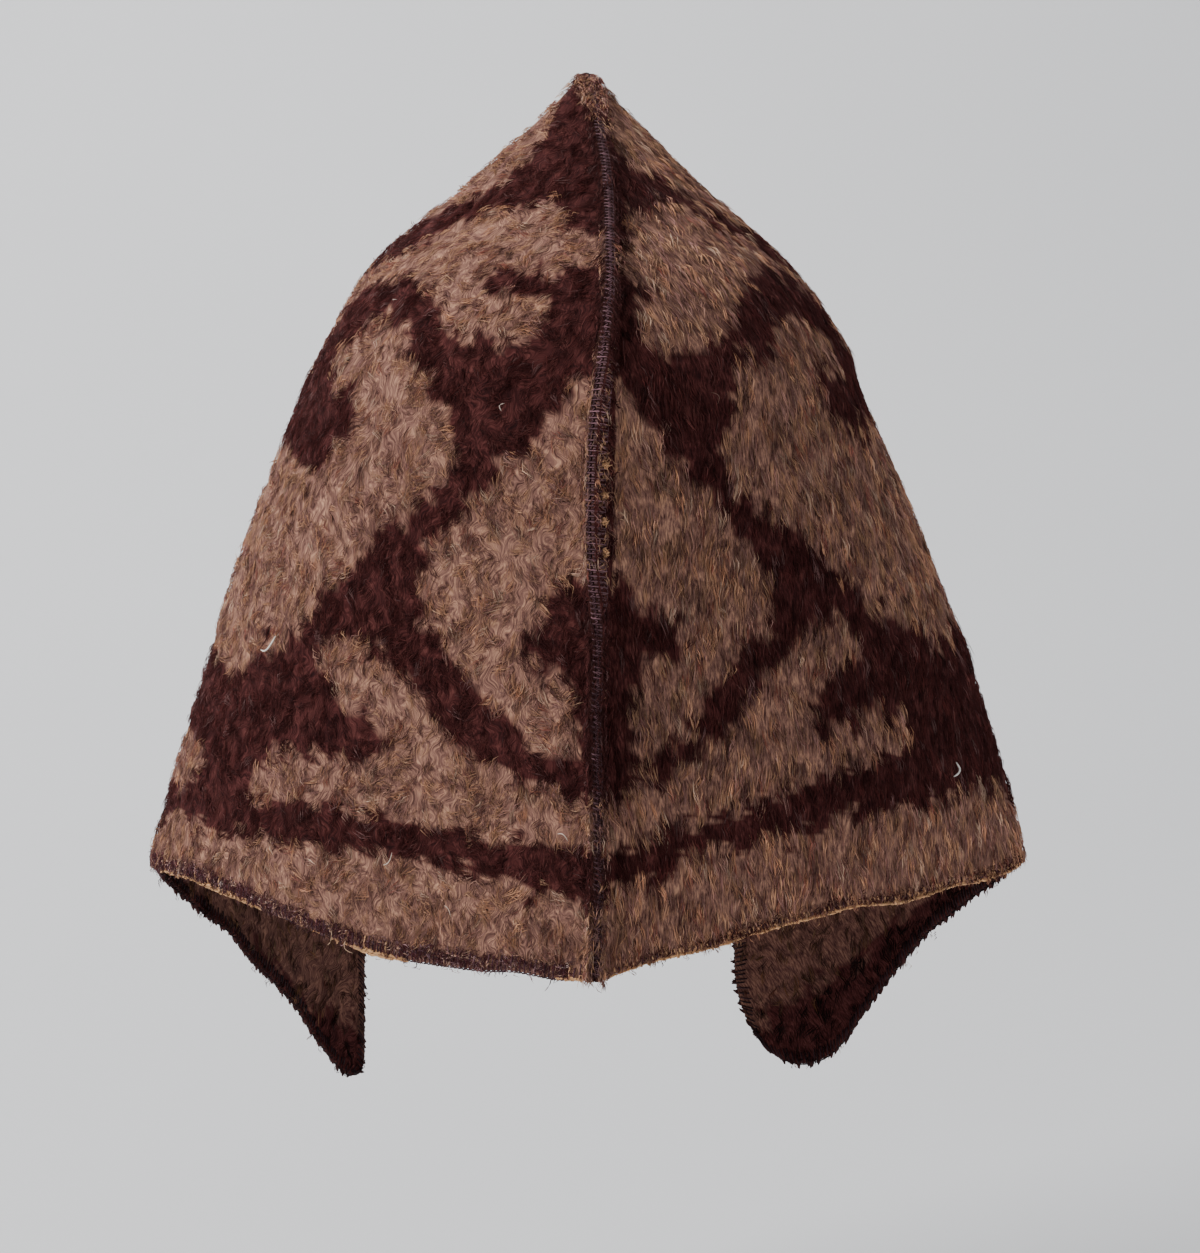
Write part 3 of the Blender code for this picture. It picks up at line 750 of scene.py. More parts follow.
def fibre_finish(name):
    """Matt wool fibre: the colour is the fibre's own attribute, which also carries painted shade and light, varied
    a little along it.
    """
    made = bpy.data.materials.new(name)
    made.use_nodes = True
    tree = made.node_tree
    shader = tree.nodes["Principled BSDF"]
    shader.inputs["Roughness"].default_value = 0.85
    shader.inputs["Specular IOR Level"].default_value = 0.12
    dye_and_painted_shading = tree.nodes.new("ShaderNodeAttribute")
    dye_and_painted_shading.attribute_name = "dye_and_painted_shading"
    place = tree.nodes.new("ShaderNodeTexCoord")
    grain = tree.nodes.new("ShaderNodeTexNoise")
    grain.inputs["Scale"].default_value = 450
    grain.inputs["Detail"].default_value = 2
    spread = tree.nodes.new("ShaderNodeMapRange")
    spread.inputs["To Min"].default_value = 0.72
    spread.inputs["To Max"].default_value = 1.28
    vary = tree.nodes.new("ShaderNodeVectorMath")
    vary.operation = "SCALE"
    tree.links.new(place.outputs["Object"], grain.inputs["Vector"])
    tree.links.new(grain.outputs["Fac"], spread.inputs["Value"])
    tree.links.new(dye_and_painted_shading.outputs["Color"], vary.inputs[0])
    tree.links.new(spread.outputs["Result"], vary.inputs["Scale"])
    tree.links.new(vary.outputs["Vector"], shader.inputs["Base Color"])
    return made


def unit(v):
    """Vectors brought to length 1."""
    return v / np.maximum(np.linalg.norm(v, axis=-1, keepdims=True), 1e-12)


def spread_roots(luck, points, normals, flat, quads, count):
    """Places spread evenly over some faces: points, outward ways, and places on the flat cloth."""
    three = np.concatenate([quads[:, [0, 1, 2]], quads[:, [0, 2, 3]]])
    a, b, c = (points[three[:, k]] for k in range(3))
    area = np.linalg.norm(np.cross(b - a, c - a), axis=1)
    pick = three[luck.choice(len(three), count, p=area / area.sum())]
    u, v = luck.uniform(0, 1, (2, count))
    over = u + v > 1
    u[over], v[over] = 1 - u[over], 1 - v[over]
    shares = np.stack([1 - u - v, u, v], axis=1)[..., None]
    roots, ways, on_flat = ((values[pick] * shares).sum(1) for values in (points, normals, flat))
    return roots, unit(ways), on_flat


def to_edge(at, edge):
    """How far places on the flat cloth are from its cut edge."""
    near = np.empty(len(at))
    for k in range(0, len(at), 2000):
        gap = at[k : k + 2000, None] - edge[None]
        near[k : k + 2000] = np.sqrt((gap**2).sum(-1).min(axis=1))
    return near


def nap(name, luck, roots, ways, dark, lay, length, wide, curl, rise, per_lock, finish, bright=1.0):
    """Locks of fibres: each fibre is a closed spindle of six faces, bent at its middle."""
    locks = len(roots)
    down = unit(np.array([0, 0, -1.0]) - ways * -ways[:, 2:3])
    sideways = np.cross(ways, down)
    along = unit(down * np.cos(lay)[:, None] + sideways * np.sin(lay)[:, None])
    beside = np.cross(ways, along)
    lock_length = length * luck.uniform(0.7, 1.25, locks)
    lock_curl = curl * luck.normal(0, 1, locks)
    fibres = locks * per_lock
    own = np.repeat(np.arange(locks), per_lock)
    n, d, s = ways[own], along[own], beside[own]
    place = luck.normal(0, 0.00085, (fibres, 2))
    root = roots[own] + d * place[:, :1] + s * place[:, 1:] - n * 0.0002
    l = (lock_length[own] * luck.uniform(0.75, 1.15, fibres))[:, None]
    k = (lock_curl[own] + luck.normal(0, 0.06, fibres))[:, None]
    up = np.abs(luck.normal(0, 1, (fibres, 1)))
    middle = root + d * l * 0.5 + s * l * k * 0.45 + n * (0.0004 + rise * (0.45 + 0.5 * up))
    tip_rise = 0.0003 + rise * up * luck.uniform(0.1, 1.1, (fibres, 1))
    tip = root + d * l + s * (l * k * -0.35 - 0.55 * place[:, 1:]) + n * tip_rise
    across = unit(np.cross(n, tip - root)) * (wide * luck.uniform(0.6, 1.2, (fibres, 1)) / 2)
    bulge = n * wide * 0.35
    ring = [middle - across - bulge, middle + across - bulge, middle + bulge]
    points = np.stack([root, tip, *ring], axis=1).reshape(-1, 3)
    start = np.arange(fibres)[:, None, None] * 5
    faces = np.array([[0, 3, 2], [0, 4, 3], [0, 2, 4], [1, 2, 3], [1, 3, 4], [1, 4, 2]])
    faces = (start + faces).reshape(-1, 3)
    mesh = bpy.data.meshes.new(name)
    mesh.from_pydata(points.tolist(), [], faces.tolist())
    made = bpy.data.objects.new(name, mesh)
    bpy.context.scene.collection.objects.link(made)
    # A lock keeps to one shade, and its fibres differ a little in it.
    shade = yarn_colours(luck, dark)[own]
    other = yarn_colours(luck, dark[own])
    # The bright factor given for each lock scales its colour; it carries the callers' painted shade and light, and
    # some tints.
    bright = np.broadcast_to(bright, (locks, 3))[own]
    colour = (0.65 * shade + 0.35 * other) * luck.uniform(0.78, 1.22, (fibres, 1)) * bright
    colour = np.concatenate([np.repeat(colour, 5, axis=0), np.ones((fibres * 5, 1))], axis=1)
    # The root end of each fibre is painted a quarter darker: painted shade down among the nap.
    colour[0::5, :3] *= 0.75
    dye_and_painted_shading = mesh.color_attributes.new("dye_and_painted_shading", "FLOAT_COLOR", "POINT")
    dye_and_painted_shading.data.foreach_set("color", colour.ravel())
    mesh.materials.append(finish)
    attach(made, "root")
    return made


def outward_ways(points, quads):
    """Smooth outward ways at the points of a face."""
    a, b, c, d = (points[quads[:, k]] for k in range(4))
    face = np.cross(c - a, d - b)
    ways = np.zeros_like(points)
    for k in range(4):
        np.add.at(ways, quads[:, k], face)
    return unit(ways)


def area_of(points, quads):
    """The area of some faces, in square metres."""
    a, b, c, d = (points[quads[:, k]] for k in range(4))
    return np.linalg.norm(np.cross(c - a, d - b), axis=1).sum() / 2


LOCKS_PER_METRE2 = {"back": 126000, "front": 80000, "seam": 260000, "inside": 42000}
fibre_wool = {side: fibre_finish(side + "_nap_wool") for side in panels}
for side, panel in panels.items():
    luck = np.random.default_rng(11 if side == "left" else 12)
    outer, flat, quads = panel["outer"], panel["flat"], panel["quads"]
    ways = outward_ways(outer, quads)
    below = panel["numbers"].shape[1]
    lows = panel["numbers_below"]
    # The nap starts beside the ridge, and the pole at the tip is left to its neighbours.
    seam = np.zeros(len(outer), bool)
    for block in (panel["numbers"][:, :3], panel["numbers"][:, -3:], lows[:, :3]):
        seam[block.ravel()] = True
    seam[:below] = True
    clear = quads[~seam[quads].any(axis=1)]
    cut = flat[np.concatenate([lows[-1, 3:], lows[1:, -1], panel["numbers"][-1, lows.shape[1] - 1 :]])]
    centre_share = outer[clear].mean(axis=1)[:, 1]
    for part, chosen in (("back", clear[centre_share <= 0]), ("front", clear[centre_share > 0])):
        count = int(area_of(outer, chosen) * LOCKS_PER_METRE2[part])
        roots, way, at = spread_roots(luck, outer, ways, flat, chosen, count)
        mm = at * 1000
        if side == "left":
            lay = 0.10 - 1.05 * np.clip((mm[:, 1] - 165) / 45, 0, 1)
            lay += 0.70 * waves(21, mm[:, 0], mm[:, 1], 60) + 0.55 * waves(22, mm[:, 0], mm[:, 1], 20)
            lay += luck.normal(0, 0.38, count)
            length, wide, curl, rise = 0.0052, 0.00026, 0.36, 0.00065
        else:
            lay = 0.16 * waves(23, mm[:, 0], mm[:, 1], 70) + 0.10 * waves(24, mm[:, 0], mm[:, 1], 18)
            lay += luck.normal(0, 0.17, count)
            length, wide, curl, rise = 0.0074, 0.00028, 0.14, 0.00065
        to_cut = to_edge(at, cut)
        length = np.minimum(length, 0.0010 + 0.60 * to_cut)
        # The chart shows the cloth as seen, so a fibre takes the tone from half its length along.
        sideways = np.sin(lay) * (1 if side == "right" else -1)
        along = 0.5 * length[:, None] * np.stack([sideways, -np.cos(lay)], axis=1)
        # Next to the cut edge the overlocking has pressed the nap down, and plum thread shades it.
        # Locks cling together, so the tones run in light and shaded streaks and patches.
        if side == "left":
            pressed, by_thread = 1.8 - to_cut / 0.0045, [0.66, 0.70, 0.58]
            clumps_and_painted_light = 1 + 0.17 * waves(27, mm[:, 0], mm[:, 1], 11, 9)
            # From 170 mm above the hem the left panel's nap is painted up to 13 % lighter, as painted light on the
            # upper part.
            clumps_and_painted_light *= 1 + 0.13 * np.clip((mm[:, 1] - 170) / 40, 0, 1)
        else:
            pressed, by_thread = 1.3 - to_cut / 0.004, [0.30, 0.36, 0.40]
            clumps_and_painted_light = 1 + 0.27 * waves(26, mm[:, 0], mm[:, 1] * 0.24, 7, 9)
            # Near the hem the right panel's nap is painted up to 40 % lighter, fading out by about 60 mm up:
            # painted light.
            clumps_and_painted_light *= 1 + 0.40 * np.clip(1.9 - mm[:, 1] / 32, 0, 1)
        shading = 1 - np.clip(pressed, 0, 1)[:, None] * by_thread
        shading = shading * np.clip(clumps_and_painted_light, 0.45, 1.6)[:, None]
        made = nap(
            f"{side}_nap_{part}", luck, roots, way, woven(side, at + along), lay,
            length, wide, curl, rise, per_lock=6, finish=fibre_wool[side], bright=shading,
        )
        panel["on"].append(made)
    # Short nap on the flanks of the ridge, which half hides the needle lines.
    flank = quads[seam[quads].any(axis=1) & (outer[quads][:, :, 2].max(axis=1) < 0.034)]
    count = int(area_of(outer, flank) * LOCKS_PER_METRE2["seam"])
    roots, way, at = spread_roots(luck, outer, ways, flat, flank, count)
    # Where the ridge lies over, fibres of both colours come through the wrapping of its right flank.
    lying = (roots[:, 1] < 0) & (np.abs(roots[:, 2] + 0.084) < 0.030) & (side == "right")
    kept = ~lying | (luck.uniform(0, 1, count) < 0.8)
    roots, way, at, count = roots[kept], way[kept], at[kept], int(kept.sum())
    dark = np.where(lying[kept], luck.uniform(0, 1, count) < 0.55, woven(side, at))
    lay = luck.normal(0, 0.6, count)
    made = nap(
        side + "_nap_seam", luck, roots, way, dark, lay,
        length=0.0034, wide=0.00034, curl=0.4, rise=0.0006, per_lock=5, finish=fibre_wool[side],
    )
    panel["on"].append(made)
    # The wrong side shows where the flaps hang open and inside the rim.
    inner = panel["inner"]
    ways = outward_ways(inner, quads[:, ::-1])
    low = clear[inner[clear].mean(axis=1)[:, 2] < -0.150]
    count = int(area_of(inner, low) * LOCKS_PER_METRE2["inside"])
    roots, way, at = spread_roots(luck, inner, ways, flat, low[:, ::-1], count)
    lay = luck.normal(0, 0.3, count) + 0.3 * waves(25, at[:, 0] * 1000, at[:, 1] * 1000, 40)
    length = np.minimum(0.0065, 0.0012 + 0.55 * to_edge(at, cut))
    dark = 1 - woven(side, at)
    # The wrong side's nap is painted down to a fifth of its colour where it comes from the dark yarn and about a
    # third from the pale: painted shade inside the hat.
    painted_shade_inside = np.where(dark[:, None] > 0.5, [0.20, 0.18, 0.17], [0.34, 0.30, 0.265])
    made = nap(
        side + "_nap_inside", luck, roots, way, dark, lay,
        length, wide=0.00038, curl=0.25, rise=0.0006, per_lock=4, finish=fibre_wool[side], bright=painted_shade_inside,
    )
    panel["on"].append(made)

# ---------------------------------------------------------------- the overlocked seam
# Plum sewing thread is looped over both raw edges of the seam, from the back hem over the tip to
# the forehead. Nap stands over it from both sides, and at the tip it covers the thread.
THREAD = 0.00018
PITCH = 0.0016


def thread_tube(path, radius, sides=4):
    """A closed thin tube along each path: paths x points x 3 in, points and faces out."""
    thick = np.broadcast_to(radius, path.shape[:2])[..., None]
    paths, count = path.shape[:2]
    run = unit(np.gradient(path, axis=1))
    helper = np.where(np.abs(run[..., 2:3]) > 0.9, [1.0, 0, 0], [0, 0, 1.0])
    one = unit(np.cross(run, helper))
    two = np.cross(run, one)
    ring = []
    for k in range(sides):
        angle = 2 * math.pi * k / sides
        ring.append(path + (one * math.cos(angle) + two * math.sin(angle)) * thick)
    points = np.stack(ring, axis=2).reshape(-1, 3)
    faces = []
    for j in range(count - 1):
        for k in range(sides):
            n = (k + 1) % sides
            faces.append([j * sides + k, j * sides + n, (j + 1) * sides + n, (j + 1) * sides + k])
    faces.append(list(range(sides))[::-1])
    faces.append([(count - 1) * sides + k for k in range(sides)])
    per_tube = count * sides
    faces = np.array(faces) + (np.arange(paths) * per_tube)[:, None, None]
    return points, faces.reshape(-1, 4), per_tube


def sewn(name, bundles, finish):
    """One piece of thread: bundles of paths, their radius and a colour for each path."""
    points, faces, colours, start = [], [], [], 0
    for path, radius, colour in bundles:
        p, f, each = thread_tube(path, radius)
        points.append(p)
        faces.append(f + start)
        colours.append(np.repeat(colour, each, axis=0))
        start += len(p)
    mesh = bpy.data.meshes.new(name)
    mesh.from_pydata(np.concatenate(points).tolist(), [], np.concatenate(faces).tolist())
    made = bpy.data.objects.new(name, mesh)
    bpy.context.scene.collection.objects.link(made)
    colours = np.concatenate(colours)
    dye_and_painted_shading = mesh.color_attributes.new("dye_and_painted_shading", "FLOAT_COLOR", "POINT")
    dye_and_painted_shading.data.foreach_set("color", np.concatenate([colours, np.ones((len(colours), 1))], axis=1).ravel())
    mesh.materials.append(finish)
    mesh.shade_smooth()
    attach(made, "root")
    return made


def thread_colours(luck, base, count, spread=0.25):
    """The thread's colour, a little lighter or darker from stitch to stitch."""
    return np.array(base) * luck.uniform(1 - spread, 1 + spread, (count, 1))


def read_along(place, run, values):
    """Points or ways, read by places along the run of a line."""
    return np.stack([np.interp(place, run, values[:, k]) for k in range(values.shape[1])], axis=-1)


def stitch_paths(point_at, step, shift, last, places):
    """One path for each stitch, through places given as two ways from the line, and a share of the
    shift along it."""
    return np.stack([point_at(np.clip(step + shift * s, 0, last), x, h) for x, h, s in places], axis=1)


PLUM = (0.135, 0.068, 0.078)
thread_finish = fibre_finish("plum_thread")
thread_finish.node_tree.nodes["Principled BSDF"].inputs["Roughness"].default_value = 0.6
luck = np.random.default_rng(31)
bundles = []
over_tip = []
for half, low in (("back", -0.2270), ("front", FOREHEAD_Z + 0.0015)):
    z = np.linspace(APEX_Z - 0.0001, low, 1200)
    base, out, up, face = seam_frame(half, z)
    run = np.concatenate([[0], np.cumsum(np.linalg.norm(np.diff(base, axis=0), axis=1))])
    stitches = int(run[-1] / PITCH)
    jitter = luck.normal(0, 0.00012, stitches)
    height = ridge("height", z)

    def at(place, across, rise):
        """Points by place along the seam, millimetres across the ridge and share of its height up."""
        foot_line, upwards, sideways = (read_along(place, run, values) for values in (base, up, face))
        stand = np.interp(place, run, height)[:, None] * rise + 0.00022 * (np.asarray(rise) > 0.9)
        return foot_line + sideways * across * 0.001 + upwards * stand

    step = (np.arange(stitches) + 0.5) * PITCH + jitter
    slant = PITCH * 0.32
    # Where the ridge lies over to the left, the wrapping shows down to its foot on the right.
    laid = np.clip(np.interp(step, run, ridge(half + "_lean", z)) / 0.6, 0, 1)[:, None]
    foot = 0.96 - 0.80 * laid
    profile = (  # across in mm, share of the ridge's height, share of the slant
        (-1.40, 0.98, -1.0),
        (-1.30, 1.05, -0.6),
        (-0.90, 1.09, -0.3),
        (-0.30, 1.10, -0.1),
        (0.50, 1.09, 0.1),
        (1.00 + 0.90 * laid, 1.05, 0.3),
        (1.32 + 1.42 * laid, 1.01 - 0.42 * laid, 0.6),
        (1.40 + 1.30 * laid, foot, 1.0),
    )
    wrap = stitch_paths(at, step, slant, run[-1], profile)
    # The thread's tone varies at random along the seam, and it is darker towards the tip, down to a little under
    # half there, over the first 110 mm.
    tone_along_seam = (0.85 + 0.30 * waves(33, step * 1000, 0 * step, 16))[:, None]
    tone_along_seam = np.clip(tone_along_seam, 0.4, 1.3) * np.clip(0.45 + step / 0.2, 0.45, 1)[:, None]
    bundles.append((wrap, THREAD, thread_colours(luck, PLUM, stitches, 0.4) * tone_along_seam * (1 + 0.9 * laid)))
    inner_profile = [(x * 0.96, h, s) for x, h, s in profile[1:7]]
    cross = stitch_paths(at, step, -1.6 * slant, run[-1], inner_profile)
    bundles.append((cross, THREAD * 0.8, thread_colours(luck, (0.040, 0.014, 0.018), stitches)))
    core = at(np.linspace(0, run[-1], 150), 0.0, 0.98)[None]
    bundles.append((core, 0.0006, np.array([[0.030, 0.009, 0.010]])))
    over_tip.append(at(np.array([0.004, 0.002, 0.0005]), 0.0, 0.80))
    # Where it lies over, more turns of thread fill the flank between the stitches.
    more = np.flatnonzero(laid[:, 0] > 0.25)
    place, lie = step[more] + PITCH * 0.5, laid[more]
    down_flank = (  # across in mm, share of the ridge's height
        (1.2, 1.05),
        (1.75 + 0.75 * lie, 0.90 - 0.16 * lie),
        (1.75 + 0.86 * lie, 0.62 - 0.05 * lie),
        (1.75 + 0.80 * lie, 0.96 - 0.72 * lie),
    )
    filling = [at(place + luck.normal(0, 0.0003, len(place)), x, h) for x, h in down_flank]
    filling = np.stack(filling, axis=1)
    bundles.append((filling, 0.00026, thread_colours(luck, (0.120, 0.062, 0.066), len(more), 0.6)))
    needle_line = 1.4 + 1.05 * laid
    line = [(needle_line, foot, -0.42), (needle_line + 0.12, foot, 0), (needle_line, foot, 0.42)]
    line = stitch_paths(at, step, PITCH, run[-1], line)
    bundles.append((line, THREAD * 0.9, thread_colours(luck, PLUM, stitches)))
    chain = stitch_paths(at, step, PITCH, run[-1], ((0.7, 1.11, -0.5), (-0.7, 1.11, 0), (0.7, 1.11, 0.5)))
    bundles.append((chain, THREAD * 0.8, thread_colours(luck, PLUM, stitches, 0.6) * tone_along_seam * 1.2))
    # Nap on the ridge's two edges, and over the whole of it next to the tip.
    for side, panel in panels.items():
        way = -1 if side == "left" else 1
        edge_number = panel["numbers"][2:, 3 if half == "back" else -4]
        if half == "back":
            edge_number = np.concatenate([edge_number, panel["numbers_below"][1:, 3]])
        beside, by_z = panel["flat"][edge_number], -panel["outer"][edge_number][:, 2]
        spots = np.concatenate([np.arange(0.002, run[-1], 0.00075), luck.uniform(0.0, 0.024, 110)])
        near_tip = np.arange(len(spots)) >= len(spots) - 110
        lying = np.interp(spots, run, ridge(half + "_lean", z)) > 0.25
        kept = ~lying | (side == "left") | (luck.uniform(0, 1, len(spots)) < 0.2)
        spots, near_tip = spots[kept], near_tip[kept]
        count = len(spots)
        on_top = near_tip | (luck.uniform(0, 1, count) < 0.22 + 0.34 * (spots < 0.06))
        across_mm = np.where(on_top, luck.uniform(0, 2.3, count), luck.uniform(1.35, 2.45, count)) * way
        rise = np.where(np.abs(across_mm) > 2.2, luck.uniform(0.6, 1.0, count), 1.0)
        over = read_along(spots, run, face) * way * np.where(near_tip, 0.2, 0.7)[:, None]
        n = unit(read_along(spots, run, up) + over)
        place = read_along(-np.interp(spots, run, z), by_z, beside)
        tip_dark = luck.uniform(0, 1, count) < 0.26 + 13 * spots
        dark = np.where(near_tip | (spots < 0.016), tip_dark, woven(side, place))
        lay = luck.normal(0, 1, count) * np.where(near_tip, 0.25, 0.45)
        bright = np.where(near_tip, 1.2, 0.75)[:, None]
        roots = at(spots, across_mm[:, None], rise[:, None])
        made = nap(
            f"{side}_nap_ridge_{half}", luck, roots, n, dark, lay,
            length=0.0038, wide=0.00032, curl=0.18, rise=0.0004,
            per_lock=4, finish=fibre_wool[side], bright=bright,
        )
        panel["on"].append(made)
    if half == "back":
        # Peach and cream tufts of raw yarn caught in the wrapping, most of them where it lies over.
        spots = np.concatenate([luck.uniform(0.105, 0.185, 90), luck.uniform(0.02, 0.27, 40)])
        spots[:60] = luck.uniform(0.145, 0.190, 60)
        lean_to = luck.normal(0, 0.0010, len(spots))
        side_at = luck.uniform(1.2, 2.7, len(spots))[:, None]
        high = luck.uniform(0.3, 0.95, len(spots))[:, None]
        root = at(spots, side_at - 0.5, high)
        bend = at(spots + lean_to * 0.5, side_at + 0.35, high)
        end = at(spots + lean_to, side_at + 0.6, high - 0.30)
        tuft = np.stack([root, bend, end], axis=1)
        thin = luck.uniform(0.00008, 0.00020, (len(spots), 1)) * [1.0, 1.0, 0.4]
        bundles.append((tuft, thin, thread_colours(luck, (0.30, 0.165, 0.105), len(spots), 0.5)))
        # Four peach tufts of warp yarn are caught there, each about 3 mm across.
        spots = np.repeat([0.1617, 0.1705, 0.1785, 0.1878], 46)
        heart = at(spots, 2.75, 0.30)
        fluff = luck.normal(0, 0.00056, (len(spots), 3, 3)) * np.array([1.0, 0.4, 1.1])
        fluff[:, 1, 1] -= 0.0006
        thin = luck.uniform(0.00014, 0.00028, (len(spots), 1)) * [0.8, 1.0, 0.5]
        peach = thread_colours(luck, (0.56, 0.31, 0.165), len(spots), 0.4)
        bundles.append((heart[:, None] + fluff, thin, peach))
# One thick cord of thread joins the two halves of the core over the tip.
tip = np.array([[section("centre", np.array([APEX_Z]))[0], 0, APEX_Z + 0.0016]])
core = np.concatenate([over_tip[0], tip, over_tip[1][::-1]])[None]
bundles.append((core, 0.0009, np.array([[0.045, 0.015, 0.015]])))
seam_thread = sewn("seam_overlock", bundles, thread_finish)
panels["left"]["on"].append(seam_thread)

# ---------------------------------------------------------------- the overlocked edges
# The cut edges of hem, flaps and face opening are wrapped with the same overlocking, one thickness
# of blanket this time. Raw cream and peach warp ends of the blanket stick out between the stitches.
HEM_RUN = 0.205  # from the back seam along the hem to where the flap begins
RAW_EDGE = {  # millimetres along the hem from the back seam, and how thickly the yarn shows
    "left": ((0, 8, 0.5), (60, 84, 1.7), (85, 100, 0.4), (121, 157, 1.5), (157, 180, 0.5)),
    "right": ((3, 60, 0.7), (56, 100, 0.85), (98, 143, 1.3), (140, 166, 0.9), (164, 204, 1.3)),
}
for side, panel in panels.items():
    luck = np.random.default_rng(41 if side == "left" else 42)
    numbers, lows = panel["numbers"], panel["numbers_below"]
    width = lows.shape[1]
    path = list(lows[-1, 3:]) + list(lows[-2:0:-1, -1]) + list(numbers[-1, width - 1 : -3])
    inside = list(lows[-2, 3:-1]) + [lows[-2, -2]] + list(lows[-2:0:-1, -2])
    inside += list(numbers[-2, width - 1 : -3])
    path, inside = np.array(path), np.array(inside)
    rim_out, rim_in = panel["outer"][path], panel["inner"][path]
    into = unit(panel["outer"][inside] - rim_out)
    wall = unit(rim_out - rim_in)
    middle = (rim_out + rim_in) / 2
    run = np.concatenate([[0], np.cumsum(np.linalg.norm(np.diff(middle, axis=0), axis=1))])
    stitches = int(run[-1] / PITCH)
    step = (np.arange(stitches) + 0.5) * PITCH + luck.normal(0, 0.0002, stitches)

    def at_edge(place, out, deep):
        """Points by place along the edge, millimetres out of the wall's middle and into the cloth."""
        centre, outwards, inwards = (read_along(place, run, values) for values in (middle, wall, into))
        return centre + unit(outwards) * out * 0.001 + unit(inwards) * deep * 0.001

    profile = (  # millimetres out of the wall's middle and into the cloth, share of the slant
        (1.55, 3.3, -1.0),
        (1.75, 1.5, -0.5),
        (1.00, -0.10, -0.2),
        (0.00, -0.42, 0.0),
        (-1.00, -0.10, 0.2),
        (-1.50, 1.5, 0.5),
        (-1.35, 3.3, 1.0),
    )
    on_hem = step < HEM_RUN
    reach = luck.uniform(0.75, 1.2, stitches) * np.where(on_hem & (side == "right"), 0.55, 1.25)
    profile = [(x, h * reach[:, None] if h > 0 else h, s) for x, h, s in profile]
    bundles = []
    wrap = stitch_paths(at_edge, step, PITCH * 0.42, run[-1], profile)
    colours = thread_colours(luck, (0.070, 0.030, 0.038), stitches, 0.5)
    colours[~on_hem] *= 0.35
    pale = on_hem & (luck.uniform(0, 1, stitches) < (0.06 if side == "left" else 0.70))
    colours[pale] = thread_colours(luck, (0.60, 0.34, 0.18), int(pale.sum()), 0.35)
    bundles.append((wrap, 0.00024, colours))
    chain = ((0.5, -0.55, -0.5), (-0.5, -0.50, 0), (0.5, -0.55, 0.5))
    chain = stitch_paths(at_edge, step, PITCH, run[-1], chain)
    bundles.append((chain, 0.00022, colours * 0.8))
    edge_thread = sewn(side + "_edge_overlock", bundles, thread_finish)
    panel["on"].append(edge_thread)
    # Broken fuzz of wool and thread stands through the stitches on the hem's outer side.
    count, depth, bright = (760, 4.8, [1.35, 1.55, 1.9]) if side == "left" else (330, 2.6, [1.0, 0.95, 0.95])
    spots = luck.uniform(0.001, HEM_RUN - 0.001, count)
    deep = luck.uniform(1.3, depth, count)[:, None]
    dark = luck.uniform(0, 1, count) < 0.80
    lay = luck.normal(0, 1.3, count)
    n = unit(read_along(spots, run, wall))
    fuzz = nap(
        side + "_hem_fuzz", luck, at_edge(spots, 1.45, deep), n, dark, lay,
        length=0.0022, wide=0.00026, curl=0.5, rise=0.0004,
        per_lock=4, finish=fibre_wool[side], bright=bright,
    )
    panel["on"].append(fuzz)
    # Raw edge: cream and peach yarn shows along stretches of the hem, as loose strands and ends.
    bundles = []
    for start, stop, thick in RAW_EDGE[side]:
        place = np.linspace(start, stop, max(6, int((stop - start) / 1.6))) * 0.001
        ease = np.sin(np.linspace(0.12, math.pi - 0.12, len(place)))
        for _ in range(5):
            wobble = luck.normal(0, 0.16, (2, len(place)))
            out = (luck.uniform(0.2, 1.15) + wobble[0])[:, None]
            deep = (luck.uniform(-0.3 - 0.45 * thick, 0.35) + wobble[1])[:, None]
            colour = thread_colours(luck, (0.60, 0.335, 0.165), 1, 0.35)
            strand_radius = 0.00016 + 0.00034 * thick * ease
            bundles.append((at_edge(place, out, deep)[None], strand_radius[None], colour))
        number = int((stop - start) * 1.1)
        ends = luck.uniform(start, stop, number) * 0.001
        drift = luck.normal(0, 0.0006, number)
        out = luck.uniform(-0.4, 1.3, number)[:, None]
        long = luck.uniform(0.4, 1.3, number)[:, None]
        root = at_edge(ends, out, 0.9)
        bend = at_edge(ends + drift * 0.5, out * 1.1, -0.5 * long)
        end = at_edge(np.clip(ends + drift, 0, run[-1]), out * 1.3, -0.9 * long)
        colour = thread_colours(luck, (0.58, 0.32, 0.165), number, 0.45)
        bundles.append((np.stack([root, bend, end], axis=1), 0.00024 + 0.00012 * thick, colour))
    raw_edge = sewn(side + "_raw_edge", bundles, fibre_finish(side + "_raw_yarn"))
    panel["on"].append(raw_edge)
    # On the flap and round the face the overlocking draws the nap into a row of dark nubs.
    place = np.arange(HEM_RUN + 0.001, run[-1] - 0.003, 0.0041)
    place = place + luck.normal(0, 0.0005, len(place))
    nubs = []
    for _ in range(4):
        drift = luck.normal(0, 0.0006, len(place))
        long = luck.uniform(0.6, 1.8, len(place))[:, None]
        out = luck.uniform(-0.8, 0.8, len(place))[:, None]
        root = at_edge(place, out, 0.9)
        bend = at_edge(place + drift * 0.4, out, -0.35 * long)
        end = at_edge(place + drift, out * 0.8, -1.25 * long)
        thin = luck.uniform(0.00045, 0.0008, (len(place), 1)) * [1.0, 0.95, 0.3]
        tones = thread_colours(luck, (0.040, 0.0125, 0.012), len(place), 0.4)
        nubs.append((np.stack([root, bend, end], axis=1), thin, tones))
    edge_nubs = sewn(side + "_edge_nubs", nubs, fibre_wool[side])
    panel["on"].append(edge_nubs)

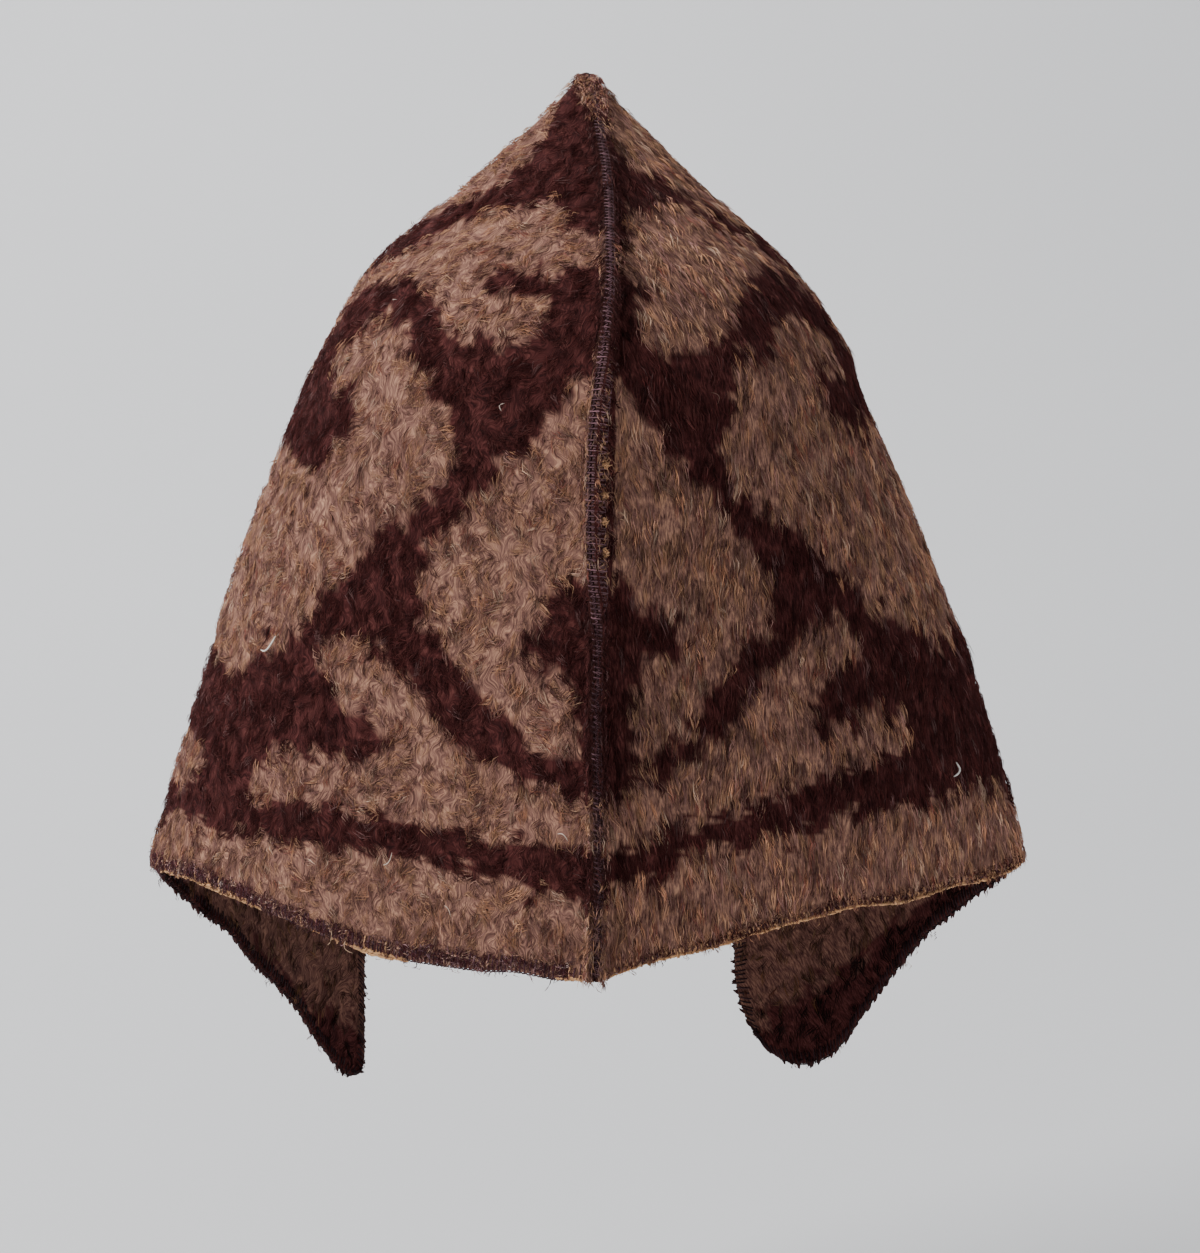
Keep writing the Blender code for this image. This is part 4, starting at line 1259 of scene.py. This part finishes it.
# ---------------------------------------------------------------- loose hairs and thread ends
# A few long pale hairs have worked loose from the nap, and ends of sewing thread hang at the hem.
LOOSE = {  # place on the flat cloth in mm, length in mm, way it points in degrees, thickness, colour
    "left": (
        (126, 95, 9, 215, 0.28, (0.78, 0.72, 0.64)),
        (66, 31, 5, 235, 0.16, (0.56, 0.46, 0.38)),
        (44, 17, 4, 310, 0.13, (0.50, 0.38, 0.30)),
        (39, 168, 2.5, 75, 0.17, (0.50, 0.40, 0.34)),
        (92, 196, 1.5, 20, 0.13, (0.55, 0.45, 0.38)),
        (6, 42, 4, 330, 0.16, (0.56, 0.44, 0.36)),
        (9, -1, 8, 268, 0.15, (0.05, 0.02, 0.02)),
        (88, 3, 5, 250, 0.14, (0.50, 0.34, 0.22)),
        (83, 2, 5, 300, 0.14, (0.45, 0.30, 0.20)),
    ),
    "right": (
        (146, 55, 5, 60, 0.36, (0.84, 0.80, 0.74)),
        (52, 170, 4, 295, 0.09, (0.16, 0.09, 0.07)),
        (88, 232, 4, 300, 0.09, (0.24, 0.15, 0.11)),
        (186, 100, 7, 80, 0.16, (0.05, 0.02, 0.02)),
    ),
}
for side, panel in panels.items():
    flat, outer = panel["flat"], panel["outer"]
    ways = outward_ways(outer, panel["quads"])
    bundles = []
    for a, b, long, way, thick, colour in LOOSE[side]:
        spot = int(np.nanargmin(((flat - np.array([a, b]) * 0.001) ** 2).sum(axis=1)))
        n = ways[spot]
        up = unit(np.array([0, 0, 1.0]) - n * n[2])
        turn = math.radians(way)
        run_to = np.cross(up, n) * math.cos(turn) + up * math.sin(turn)
        bow = np.cross(n, run_to)
        s = np.linspace(0, 1, 7)[:, None]
        path = outer[spot] + n * (0.0012 + 0.0010 * np.sin(s * math.pi)) + run_to * long * 0.001 * (s - 0.5)
        path = path + bow * long * 0.00028 * np.sin(s * math.pi) * (1 if way % 20 else -1)
        thin = thick * 0.001 * np.array([0.5, 1, 1, 1, 1, 0.9, 0.4])
        bundles.append((path[None], thin[None], np.array([colour])))
    hairs = sewn(side + "_loose_hairs", bundles, fibre_finish(side + "_loose_hair"))
    panel["on"].append(hairs)

# ---------------------------------------------------------------- the pieces laid on each panel, as lists
for side, other, flat_size, area in (
    ("left", "right_cloth", (0.380, 0.322), 0.0802),
    ("right", "left_cloth", (0.366, 0.312), 0.0788),
):
    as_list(panels[side]["on"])
